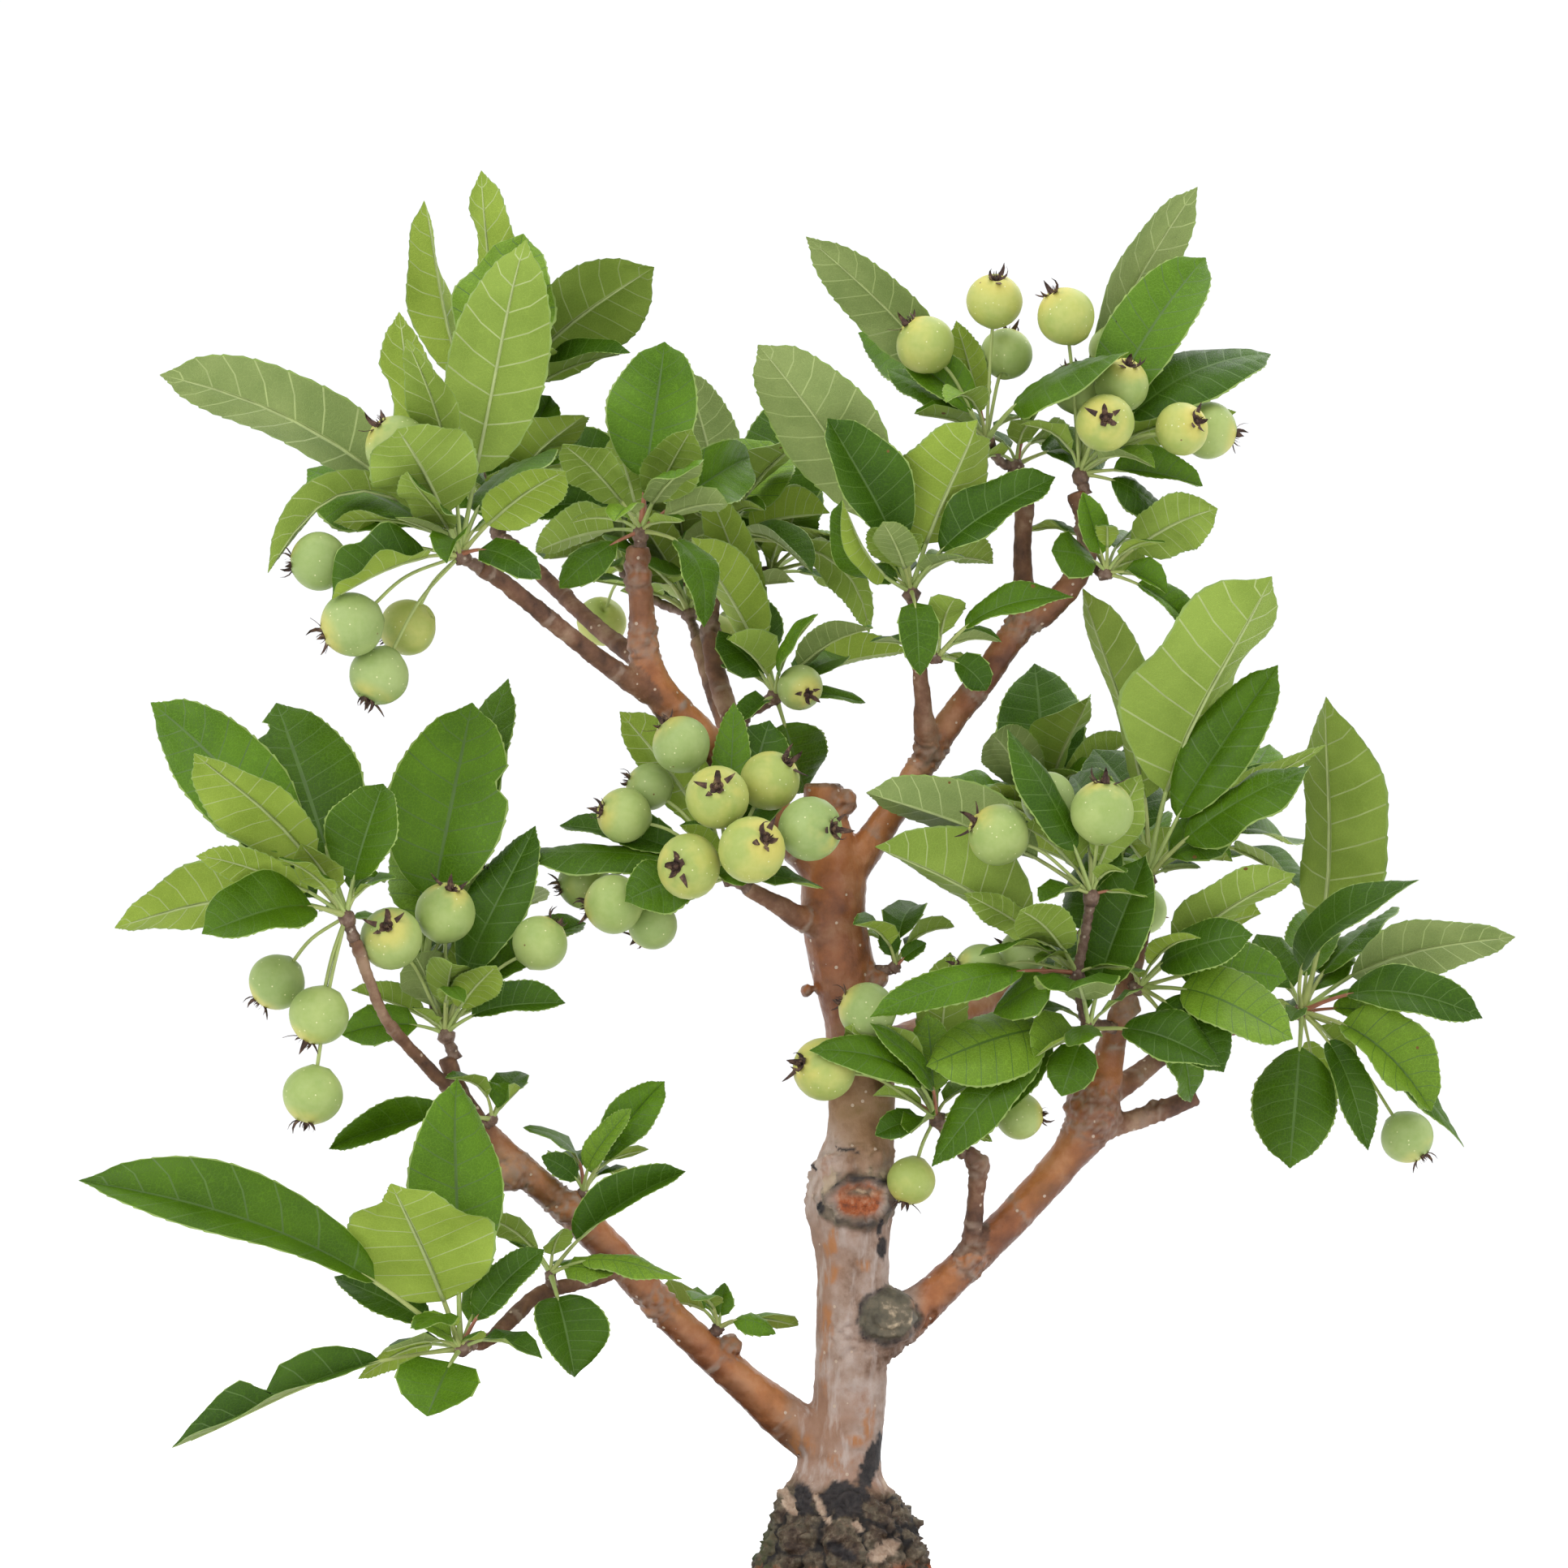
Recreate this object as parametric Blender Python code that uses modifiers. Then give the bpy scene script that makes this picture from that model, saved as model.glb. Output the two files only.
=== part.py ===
"""An apple bonsai in fruit, in a plain oval pot. Metres, +Z up, origin at the middle of the pot's flat underside.

The trunk leans a little and ends in an old pruning cut. Its boughs are tapering limbs, each its own solid, and
each mass of foliage is one solid: twigs that end in knobby spurs, with leaves and small green apples on them.
Sizes are in millimetres and become metres where a mesh is made. A place on the tree is (across, height, depth)
from the middle of the trunk's foot, read off the front of the tree: depth is away from the reader.
"""

import math
import random

import bmesh
import bpy
from mathutils import Vector
from mathutils.bvhtree import BVHTree

MM = 0.001
MERGES = (0.00001, 0.000001, 0.0000001)  # metres: points closer than this become one, the first that does
GAP = 0.3  # left between pieces that touch on the real tree

# The pot, the soil and where the tree stands in them
POT_LENGTH = 330
POT_WIDTH = 250
POT_HEIGHT = 66
POT_WALL = 8
FLOOR_THICK = 9
FOOT_INSET = 20  # how far the foot stands in from the lip
DRAIN_RADIUS = 9
DRAIN_APART = 140
ROUND_STEPS = 40
SOIL_TOP = 72
SOIL_FLAT = 46  # radius of the level top round the trunk
SOIL_AT_WALL = 54
SOIL_INSET = 0.9  # from the pot's inner wall, whose flat sides differ from the soil's
MOUND_RISE = 1.3  # of the soil's low mounds
SOIL_STEPS = 56  # round the soil's top, and the rings across its slope: their points are mound and hollow in turn
SOIL_RINGS = 9
DOME_CURVE = 1.2
FOOT_ACROSS = 12  # the trunk's foot, right of the pot's middle

# The reader's eye, for taking the front view's perspective out of the places below
EYE_ACROSS = -17.3
EYE_HEIGHT = 281.9
EYE_DISTANCE = 1600

# The trunk from its cut at the soil to the pruned top: across, height, radius
TRUNK = (
    (0, GAP, 34), (0, 10, 31), (0, 21, 28), (1.5, 30, 26), (2, 38, 23.5), (1, 46, 18.5), (0.5, 52, 14.8),
    (2, 62, 13.2), (4.2, 75, 12.2), (5.2, 95, 12), (5.6, 120, 11.9), (5, 131, 13), (4.6, 144, 14.7),
    (6, 156, 13), (8.2, 166, 11.2), (8.4, 184, 11.1), (7, 202, 10.8), (2.5, 220, 11), (-0.6, 236, 10.8),
    (-0.8, 250, 10.8), (-1.4, 259, 9.6), (-3.2, 270, 7.2), (-4.4, 282, 6.4),
)
TRUNK_SIDES = 14
ROOT_LOBES = 5
ROOT_SWELL = 0.16  # of the radius, at the soil
ROOT_TOP = 45  # where the lobes have faded out
PLATE_RISE = 1.2  # of the flaky bark's plates, which are as wide as the trunk's sides
PLATE_TOP = 48
SCARS = (((8, 144, -8.5), (10, 6.5, 8)), ((17.5, 105, -5), (9.5, 8, 9.5)))  # centre and half sizes

# Limbs: what carries it, how much of its foot is one with what carries it, and its places with radii
LIMBS = {
    "bough_lower_left": ("trunk", 17, (
        (-4, 62, 0, 8.5), (-18, 72, -3, 7.8), (-28, 80.5, -6, 6.5), (-40, 90.8, -10, 5.8), (-57, 107, -16, 5.5),
        (-80, 132, -22, 5.8), (-100, 150, -27, 5), (-114, 163, -30, 4.2), (-124, 177, -33, 3.2),
        (-129.5, 191, -35, 3))),
    "bough_lower_right": ("trunk", 30, (
        (6, 94, 0, 10), (18, 102, 2, 9.4), (28, 108.5, 4, 7), (42, 121, 7, 6.1), (62, 141, 11, 5.9),
        (77, 158, 14, 6.4), (85, 170, 15, 8.8), (88, 181, 14, 7.6), (91.5, 194, 12, 4.8), (97, 215, 8, 3.9),
        (102, 237, 5, 3.5))),
    "bough_upper_left": ("trunk", 27, (
        (0, 250, 0, 8), (-14, 264, -1, 7), (-30, 282, -4, 6.5), (-45, 297.5, -8, 6.2), (-56, 309, -11, 6),
        (-62.5, 319, -13, 5.8), (-64, 329, -14, 5.2), (-64.6, 341, -16, 4.2), (-66, 353, -18, 4.6),
        (-65.8, 361, -19, 4))),
    "bough_upper_right": ("trunk", 18, (
        (2, 250, 0, 7), (9, 259, 0, 5.8), (21.5, 277, 1, 4.9), (31, 291.6, 2, 4.8), (39, 304, 3, 4.8),
        (50, 318, 4, 4.6), (61, 334, 5, 5), (70, 339.5, 3, 4.4), (79, 349.5, 0, 4.1), (83.4, 359, -2, 3.6),
        (82.5, 370, -4, 3), (79.8, 379, -5, 3.9))),
    "bough_rear_right": ("trunk", 16, (
        (8, 190, 2, 7), (17, 195, 18, 5.5), (44, 206, 48, 4.6), (74, 222, 82, 3.8), (88, 238, 104, 3))),
    "bough_rear_left": ("trunk", 15, (
        (-1, 250, 2, 7), (-8, 258, 17, 5.5), (-22, 276, 38, 4.8), (-36, 302, 60, 4), (-46, 330, 82, 3))),
    "branch_left_front": ("bough_upper_left", 16, (
        (-60, 311, -12, 4.2), (-68, 316, -17, 3.9), (-80, 324.5, -26, 3.2), (-100, 340.5, -41, 3.1),
        (-112, 350, -50, 2.8), (-118, 354, -54, 3.4))),
    "branch_left_rear": ("bough_upper_left", 17, (
        (-63, 321, -12, 3.6), (-70, 326.5, -3, 3.3), (-80, 334.5, 9, 3), (-98, 351.5, 29, 2.8),
        (-108, 360, 40, 2.5))),
    "branch_middle_rear": ("bough_upper_left", 9, (
        (-26, 279, -2, 4), (-30, 288, 8, 3.8), (-34, 300, 19, 3.5), (-40, 320, 33, 3.5), (-42, 338, 43, 3.2),
        (-38, 356, 50, 3.6))),
    "branch_right_upright": ("bough_upper_right", 12, (
        (61, 335, 5, 4.2), (62.5, 342, 8, 3.8), (62, 360, 12, 3.2), (63, 376, 14, 3.4))),
    "branch_middle_spur": ("bough_upper_right", 12, (
        (31, 291, 2, 4.2), (29.8, 299, -4, 4), (28.6, 312, -9, 2.9), (27, 328, -13, 2.6), (25.8, 338, -15, 2.8))),
    "branch_low_right_cut": ("bough_lower_right", 17, (
        (85, 166, 15, 4.2), (97, 169.5, 18, 3.6), (106, 172.5, 20, 3.6), (120, 178, 22, 3.1))),
    "branch_low_right_end": ("bough_lower_right", 12, (
        (87, 176, 14, 4.4), (98, 183.5, 20, 3.8), (110, 192, 30, 3), (128, 199.5, 42, 2.8), (148, 205, 52, 2.6))),
    "stub_low_right": ("bough_lower_right", 14, (
        (44, 124, 7, 3.6), (45.8, 136, 3, 3.2), (46.8, 148, 0, 2.8), (47.4, 155, -2, 3.6), (43, 160.5, -4, 2.4))),
    "trunk_spur": ("trunk", 15, (
        (0, 234, -1, 5), (-11, 237, -9, 4.4), (-19, 241.5, -16, 3.3), (-30, 247.5, -22, 2.6))),
    "branch_left_outer": ("bough_lower_left", 24, (
        (-119, 171, -31, 2.8), (-127, 179, -36, 2.6), (-136, 188, -44, 2.3), (-147, 200, -53, 2.1),
        (-152, 208, -58, 2), (-160, 230, -66, 2.2))),
    "twig_lower_left": ("bough_lower_left", 8, (
        (-72, 122, -21, 2.8), (-79, 117.5, -28, 2.6), (-97, 113, -41, 2.6), (-106, 106, -50, 2.8),
        (-115, 97, -60, 2.3), (-120, 95, -64, 2.2))),
}
LIMB_SPAN = 12  # length of limb between two rings
STUB_OF_TWIG = 0.35

# Leaves and fruit
PETIOLE_SHARE = 0.26  # of the whole leaf's length
PETIOLE_RADIUS = 0.8
LEAF_KEEL = 0.03  # how far the midrib stands under the blade's edges, of its length
STATIONS = ((0.48, 1.0), (0.78, 0.74))  # along the leaf, and the share of its full width there
SUNK = 1.0  # how deep a root reaches into its spur
SPUR_RADIUS = 3.2
TWIG_RADIUS = 1.7
STALK_RADIUS = 0.75
FRUIT_SIDES = 7
CLEARANCE = 0.5
KEPT_FACES = 0.62  # of a mass's faces
SMOOTH_ANGLE = math.radians(40)  # edges that turn more than this look sharp
DEPTH_STEPS = (0, -7, 7, -14, 14, -22, 22, -30, 30)  # tried in turn where a leaf would touch something
GOLDEN_ANGLE = math.pi * (3 - math.sqrt(5))
SEED = 20

FACING = {
    "front": Vector((0, -1, 0)), "back": Vector((0, 1, 0)), "up": Vector((0, 0, 1)),
    "left": Vector((-1, 0, 0)), "right": Vector((1, 0, 0)),
}

# Masses of foliage. Each spur is (across, height, depth), and the first is the one that the stem runs to. A
# leading leaf is (its spur, tip across, tip height, tip depth from the spur, width, the way its upper face
# looks, arch), and a fruit is (its spur, across, height, depth from the spur, radius). "more" is how many
# leaves the rule adds round each spur, inside the box that the leading leaves and fruit span.
MASSES = {
    "foliage_upper_left": {
        "on": "branch_left_front", "spurs": ((-125, 358, -58),), "more": 5,
        "leaves": (
            (0, -225, 418, -22, 26, "back up", 0.15), (0, -189, 352, -14, 16, "left up", 0.40),
            (0, -178, 388, 8, 31, "front up", 0.10), (0, -147, 441, 6, 21, "back left up", 0.08),
            (0, -146, 400, -34, 32, "back up", 0.10), (0, -90, 386, -20, 20, "back up", 0.12),
            (0, -98, 350, -14, 14, "front up", 0.20)),
        "fruit": (
            (0, -172, 356, -8, 9.3), (0, -161, 335, -12, 10.2), (0, -152, 318, -4, 9.6),
            (0, -142.5, 334, 12, 9.2), (0, -146, 394, -10, 10.2), (0, -132, 383, 10, 8))},
    "foliage_upper_left_rear": {
        "on": "branch_left_rear", "spurs": ((-113, 366, 44), (-117, 399, 37)), "more": 4,
        "leaves": (
            (1, -118, 486, 12, 23, "back up right", 0.06), (1, -137, 476, 4, 19, "back left up", 0.08),
            (1, -104, 465, -6, 34, "front up", 0.08), (1, -61, 456, -24, 40, "back up left", 0.12),
            (0, -72, 374, -12, 16, "front up", 0.15), (0, -95, 411, 4, 24, "front up", 0.10),
            (0, -84, 404, 14, 15, "back up", 0.10)),
        "fruit": ()},
    "foliage_upper_middle": {
        "on": "bough_upper_left", "spurs": ((-65, 366, -21),), "more": 6,
        "leaves": (
            (0, -57, 429, 14, 28, "front up", 0.06), (0, -48, 400, -18, 18, "back up", 0.08),
            (0, -91, 395, -20, 17, "back up", 0.12), (0, -44, 334, -8, 15, "front right up", 0.32),
            (0, -36, 375, -10, 10, "back up", 0.15)),
        "fruit": ()},
    "foliage_upper_middle_rear": {
        "on": "branch_middle_rear", "spurs": ((-37, 363, 52),), "more": 5,
        "leaves": (
            (0, -22, 396, 12, 31, "front up", 0.10), (0, -50, 420, 18, 20, "back up", 0.10),
            (0, 11, 332, -20, 14, "back up", 0.33), (0, -32, 391, -18, 13, "front up", 0.28)),
        "fruit": ()},
    "foliage_inner": {
        "on": "branch_middle_rear", "spurs": ((-20, 311, 10),), "more": 3,
        "leaves": (
            (0, -48, 364, -18, 18, "back up", 0.12), (0, -44, 384, -6, 15, "back up", 0.10),
            (0, -39, 333, 4, 16, "front up", 0.10), (0, 4, 324, 14, 16, "front up", 0.12),
            (0, 24, 326, 26, 13, "back up", 0.10), (0, 10, 309, -4, 8, "front up", 0.10),
            (0, -10, 279, 10, 24, "front", 0.08)),
        "fruit": ((0, -12, 314, -10, 7.6),)},
    "foliage_fruit_cluster": {
        "on": "trunk_spur", "spurs": ((-36, 251, -25),), "more": 3,
        "leaves": (
            (0, -110, 260, -6, 16, "front up", 0.08), (0, -72, 306, 14, 22, "back up", 0.10),
            (0, -4, 247, -8, 13, "front up", 0.10), (0, -70, 243, -12, 20, "front up", 0.12)),
        "fruit": (
            (0, -51.5, 295, -6, 9.5), (0, -62, 281, 8, 7.8), (0, -70.5, 271.5, -4, 9), (0, -39.5, 277.5, -24, 10.2),
            (0, -22, 283, -10, 10), (0, -8.6, 267, -20, 10.5), (0, -28, 260, -34, 10.8), (0, -49, 254.5, -26, 10.5),
            (0, -74, 242, -6, 9.7), (0, -84, 249, 10, 8.6), (0, -61, 235, 4, 8.2))},
    "foliage_middle": {
        "on": "branch_middle_spur", "spurs": ((25, 346, -17),), "more": 3,
        "leaves": (
            (0, -26, 428, -18, 31, "back up", 0.12), (0, -3, 402, 10, 24, "front up", 0.08),
            (0, 47, 403, -16, 31, "back up", 0.08), (0, 73, 384, -4, 19, "front up", 0.14),
            (0, 16, 367, -22, 17, "back up", 0.10), (0, 7, 356, 0, 10, "front up", 0.10)),
        "fruit": ()},
    "foliage_middle_low": {
        "on": "branch_middle_spur", "spurs": ((34, 324, -20),), "more": 0,
        "leaves": ((0, 79, 344, -8, 13, "front up", 0.20), (0, 50, 313, 0, 11, "front up", 0.20)),
        "fruit": ()},
    "foliage_upper_right": {
        "on": "bough_upper_right", "spurs": ((81, 385, -6),), "more": 4,
        "leaves": (
            (0, 122, 483, 4, 24, "back up left", 0.10), (0, 123, 457, 18, 25, "front up", 0.12),
            (0, 146, 426, 10, 23, "front up", 0.18), (0, 122, 381, 4, 13, "front up", 0.10)),
        "fruit": (
            (0, 76.5, 437.5, -12, 9.7), (0, 92, 426.5, 8, 8.2), (0, 95, 414.5, -10, 9.2), (0, 89.5, 402, -24, 9.5),
            (0, 115, 400, -14, 8.7), (0, 124, 399.5, 6, 9.4), (0, 80, 413, 4, 8))},
    "foliage_upper_right_inner": {
        "on": "branch_right_upright", "spurs": ((60, 388, 13), (50, 396, -2)), "more": 3,
        "leaves": (
            (1, -10, 464, -8, 21, "back up", 0.12), (1, 97, 425, -22, 27, "front up", 0.12),
            (1, 23, 424, -2, 16, "front up", 0.15), (1, 17, 420, 16, 13, "front up", 0.10)),
        "fruit": ((1, 29.7, 428, -8, 9.7), (1, 52.7, 442.5, -6, 9.2), (1, 56.7, 425, 8, 8.7))},
    "foliage_right_side": {
        "on": "bough_upper_right", "spurs": ((90, 352, -4),), "more": 1,
        "leaves": (
            (0, 127, 373.5, -12, 21, "back up", 0.12), (0, 82, 379, -14, 10, "front", 0.08),
            (0, 110, 345, -4, 9, "front up", 0.20), (0, 103, 357, 8, 11, "back up", 0.10)),
        "fruit": ()},
    "foliage_right_upper": {
        "on": "bough_lower_right", "spurs": ((104, 251, 5),), "more": 5,
        "leaves": (
            (0, 145, 351, -16, 47, "back up left", 0.08), (0, 82, 347, 6, 27, "back up right", 0.08),
            (0, 145, 321, 20, 23, "front up", 0.08), (0, 158, 288, -12, 25, "front up", 0.10),
            (0, 163, 295, 12, 12, "back up", 0.10)),
        "fruit": ()},
    "foliage_right_inner": {
        "on": "bough_lower_right", "spurs": ((84, 200, -10), (80, 219, -24), (85, 245, -32)), "more": 3,
        "leaves": (
            (1, 13, 261, -12, 27, "back up", 0.10), (2, 10, 279, 8, 22, "back up", 0.08),
            (2, 56, 300, 10, 15, "front up", 0.08), (2, 63, 268, -18, 15, "back up", 0.18),
            (0, 103, 258, -14, 23, "front up", 0.10), (0, 30, 188, -14, 30, "front up", 0.12),
            (0, 66, 191, -18, 15, "front up", 0.10), (0, 32, 154, -18, 16, "front up", 0.18)),
        "fruit": (
            (2, 54, 265, -6, 10), (2, 70.5, 277, 8, 9), (2, 88.5, 272.5, -10, 10.6), (1, 48, 220, 0, 8.6),
            (1, 62.5, 226, 12, 8))},
    "foliage_right_middle": {
        "on": "bough_lower_right", "spurs": ((101, 214, 2),), "more": 4,
        "leaves": (
            (0, 152, 197, -14, 28, "front up", 0.15), (0, 153, 252, -16, 23, "back up", 0.10),
            (0, 150, 217, 12, 23, "front up", 0.12), (0, 129, 186, -20, 23, "front up", 0.15)),
        "fruit": ()},
    "foliage_right_end": {
        "on": "branch_low_right_end", "spurs": ((155, 206, 54),), "more": 6,
        "leaves": (
            (0, 163, 311, -6, 40, "back up right", 0.10), (0, 194, 250, -28, 18, "front up", 0.30),
            (0, 226, 231, -6, 25, "back up", 0.14), (0, 198, 173, -16, 23, "front up", 0.20),
            (0, 209, 161, 6, 14, "front up", 0.15), (0, 151, 154, -26, 27, "front up", 0.12)),
        "fruit": ((0, 190, 164.5, -6, 9),)},
    "foliage_stub": {
        "on": "stub_low_right", "spurs": ((33, 171, -8),), "more": 2,
        "leaves": (
            (0, -9, 194, -18, 15, "front up", 0.20), (0, 11, 203, -14, 11, "front up", 0.15),
            (0, 13, 165, -10, 10, "front up", 0.10), (0, 38, 226, 2, 17, "back up", 0.08)),
        "fruit": (
            (0, 10.3, 206.5, -14, 9.5), (0, -4, 187, -20, 10.5), (0, 25, 150, -4, 8.1), (0, 61, 171.5, 6, 8))},
    "foliage_left": {
        "on": "bough_lower_left", "spurs": ((-130, 199, -35), (-137, 220, -27)), "more": 3,
        "leaves": (
            (1, -121, 309, 12, 37, "front up", 0.06), (1, -109, 317, 26, 19, "front up", 0.10),
            (0, -84, 235, 8, 16, "front up", 0.15), (0, -90, 209, -6, 13, "front up", 0.15),
            (0, -106, 248, -12, 19, "back up", 0.08), (0, -141, 225, -24, 18, "back up", 0.10)),
        "fruit": (
            (0, -98.5, 229, -6, 9), (0, -130, 239, -14, 10), (0, -148, 230.5, -24, 10), (1, -119.5, 246, 6, 8.6))},
    "foliage_left_outer": {
        "on": "branch_left_outer", "spurs": ((-163, 238, -68),), "more": 3,
        "leaves": (
            (0, -228, 309, 14, 28, "front up", 0.08), (0, -211, 292, -14, 26, "back up", 0.12),
            (0, -187, 309, 22, 35, "front up", 0.06), (0, -240, 234, -8, 24, "back up", 0.15),
            (0, -211, 232, -26, 28, "front up", 0.15), (0, -208, 272, 10, 14, "front up", 0.10)),
        "fruit": ((0, -186, 216, 8, 9), (0, -172, 205, -6, 9.5), (0, -174, 178.5, -10, 9.5))},
    "foliage_lower_left": {
        "on": "twig_lower_left", "spurs": ((-125, 94, -67),), "more": 2,
        "leaves": (
            (0, -252, 150, -14, 26, "front up", 0.14), (0, -148, 149, -26, 46, "back up", 0.06),
            (0, -167, 118, 8, 15, "front up", 0.10), (0, -221, 61, -8, 15, "front up", 0.10),
            (0, -136, 71.5, -18, 26, "front up", 0.10), (0, -159, 84, 4, 10, "back up", 0.20),
            (0, -97, 127, 4, 13, "front up", 0.15), (0, -126, 184, 0, 29, "front up", 0.08)),
        "fruit": ()},
    "foliage_low_sprig": {
        "on": "twig_lower_left", "spurs": ((-95, 119, -41),), "more": 0,
        "leaves": (
            (0, -87, 84.5, -12, 24, "front up", 0.15), (0, -50, 153, -8, 13, "front up", 0.12),
            (0, -74, 119, -10, 11, "front up", 0.15), (0, -51, 118, -2, 9, "front up", 0.20)),
        "fruit": ()},
    "foliage_bough_sprig": {
        "on": "bough_lower_left", "spurs": ((-84, 146, -26),), "more": 0,
        "leaves": (
            (0, -57, 183, 4, 15, "front up", 0.10), (0, -98, 158, -4, 8, "front up", 0.20),
            (0, -68, 174, -12, 9, "front up", 0.15)),
        "fruit": ()},
    "foliage_outer_sprig": {
        "on": "bough_lower_left", "spurs": ((-114.4, 170.4, -34.4),), "more": 0,
        "leaves": (
            (0, -168, 161, -6, 11, "front up", 0.12), (0, -105, 181, 2, 12, "front up", 0.10)),
        "fruit": ()},
    "foliage_tiny_sprig": {
        "on": "bough_lower_left", "spurs": ((-39, 101, -13),), "more": 0,
        "leaves": ((0, -37, 116, -2, 8, "front up", 0.05), (0, -20, 99, -4, 8, "front up", 0.30)),
        "fruit": ()},
    "foliage_trunk_sprig": {
        "on": "trunk", "spurs": ((20, 221, -4),), "more": 0,
        "leaves": ((0, 16, 235, -2, 7, "front up", 0.05), (0, 30, 229, -2, 7, "front up", 0.10)),
        "fruit": ()},
    "foliage_rear_right": {
        "on": "bough_rear_right", "spurs": ((92, 246, 112), (70, 268, 122), (124, 262, 104)), "more": 8,
        "box": ((22, 196, 62), (150, 325, 172)),
        "leaves": ((1, 66, 322, 10, 30, "front up", 0.10), (2, 150, 262, 30, 28, "right up", 0.15)),
        "fruit": ((0, 84, 262, 34, 9.5), (0, 102, 240, 30, 9), (1, 52, 262, 24, 9))},
    "foliage_rear_left": {
        "on": "bough_rear_left", "spurs": ((-49, 339, 90), (-70, 352, 96), (-22, 352, 94)), "more": 8,
        "box": ((-105, 290, 40), (14, 418, 150)),
        "leaves": ((1, -92, 398, 10, 30, "front up", 0.10), (2, -14, 412, 8, 30, "front up", 0.10)),
        "fruit": ((0, -54, 352, 32, 9.5), (0, -38, 330, 34, 9), (1, -78, 336, 28, 9))},
}
MORE_LENGTH = (38, 62)
MORE_WIDTH = (0.34, 0.46)  # of the length
MORE_TILT = (0.7, 1.35)  # from the spur's axis, radians


def clear_scene():
    for old in list(bpy.data.objects):
        bpy.data.objects.remove(old, do_unlink=True)


def collection(name):
    made = bpy.data.collections.new(name)
    bpy.context.scene.collection.children.link(made)
    return made


def material(name, colour, roughness):
    made = bpy.data.materials.new(name)
    made.use_nodes = True
    shader = made.node_tree.nodes["Principled BSDF"]
    shader.inputs["Base Color"].default_value = (*colour, 1)
    shader.inputs["Roughness"].default_value = roughness
    made.diffuse_color = (*colour, 1)
    return made


def place(across, height, depth):
    """A place on the tree, in millimetres, with the front view's perspective taken out."""
    spread = 1 + depth / EYE_DISTANCE
    x = EYE_ACROSS + (across - EYE_ACROSS) * spread
    z = EYE_HEIGHT + (height - EYE_HEIGHT) * spread
    return Vector((FOOT_ACROSS + x, depth, SOIL_TOP + z))


def as_mesh(bm, name):
    bmesh.ops.triangulate(bm, faces=bm.faces[:])
    bmesh.ops.recalc_face_normals(bm, faces=bm.faces[:])
    mesh = bpy.data.meshes.new(name)
    bm.to_mesh(mesh)
    bm.free()
    return mesh


def add_object(mesh, name, home, finish):
    """Links a mesh as a solid. Round parts are shaded smooth, up to their sharp edges."""
    mesh.name = name
    mesh.shade_smooth()
    mesh.set_sharp_from_angle(angle=SMOOTH_ANGLE)
    mesh.materials.clear()
    mesh.materials.append(finish)
    made = bpy.data.objects.new(name, mesh)
    home.objects.link(made)
    return made


def evaluated_mesh(obj):
    graph = bpy.context.evaluated_depsgraph_get()
    return bpy.data.meshes.new_from_object(obj.evaluated_get(graph))


def tree_of(mesh):
    corners = [vertex.co for vertex in mesh.vertices]
    return BVHTree.FromPolygons(corners, [face.vertices for face in mesh.polygons])


def loft(rings, name, tip=None):
    """A closed skin through rings of points with the same count, ending in a point where there is a tip."""
    bm = bmesh.new()
    made = [[bm.verts.new(point * MM) for point in ring] for ring in rings]
    count = len(made[0])
    for lower, upper in zip(made, made[1:]):
        for i in range(count):
            j = (i + 1) % count
            bm.faces.new((lower[i], lower[j], upper[j], upper[i]))
    bm.faces.new(made[0][::-1])
    if tip is None:
        bm.faces.new(made[-1])
    else:
        end = bm.verts.new(tip * MM)
        for i in range(count):
            bm.faces.new((made[-1][i], made[-1][(i + 1) % count], end))
    return as_mesh(bm, name)


def turned(name, profile, steps, stretch, home, finish):
    """A solid turned from (radius, height) points given down its outer side, and squeezed front to back."""
    mesh = bpy.data.meshes.new(name)
    corners = [(radius * MM, 0, height * MM) for radius, height in profile]
    mesh.from_pydata(corners, [(i, i + 1) for i in range(len(corners) - 1)], [])
    blank = bpy.data.objects.new(name + "_turning", mesh)
    home.objects.link(blank)
    screw = blank.modifiers.new("turn", "SCREW")
    screw.steps = screw.render_steps = steps
    screw.use_merge_vertices = True
    screw.merge_threshold = 0.0001
    turned_mesh = evaluated_mesh(blank)
    for vertex in turned_mesh.vertices:
        vertex.co.y *= stretch
    bpy.data.objects.remove(blank, do_unlink=True)
    return add_object(turned_mesh, name, home, finish)


def smooth_path(points, span):
    """Points of a Catmull-Rom curve through the given ones. Each is a Vector, with its radius as a fourth number."""
    ends = [points[0] * 2 - points[1], *points, points[-1] * 2 - points[-2]]
    made = []
    for before, start, end, after in zip(ends, ends[1:], ends[2:], ends[3:]):
        steps = max(1, round((end - start).to_3d().length / span))
        for i in range(steps):
            t = i / steps
            made.append(0.5 * (
                2 * start + (end - before) * t + (2 * before - 5 * start + 4 * end - after) * t * t
                + (3 * start - before - 3 * end + after) * t ** 3))
    return made + [points[-1]]


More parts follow.
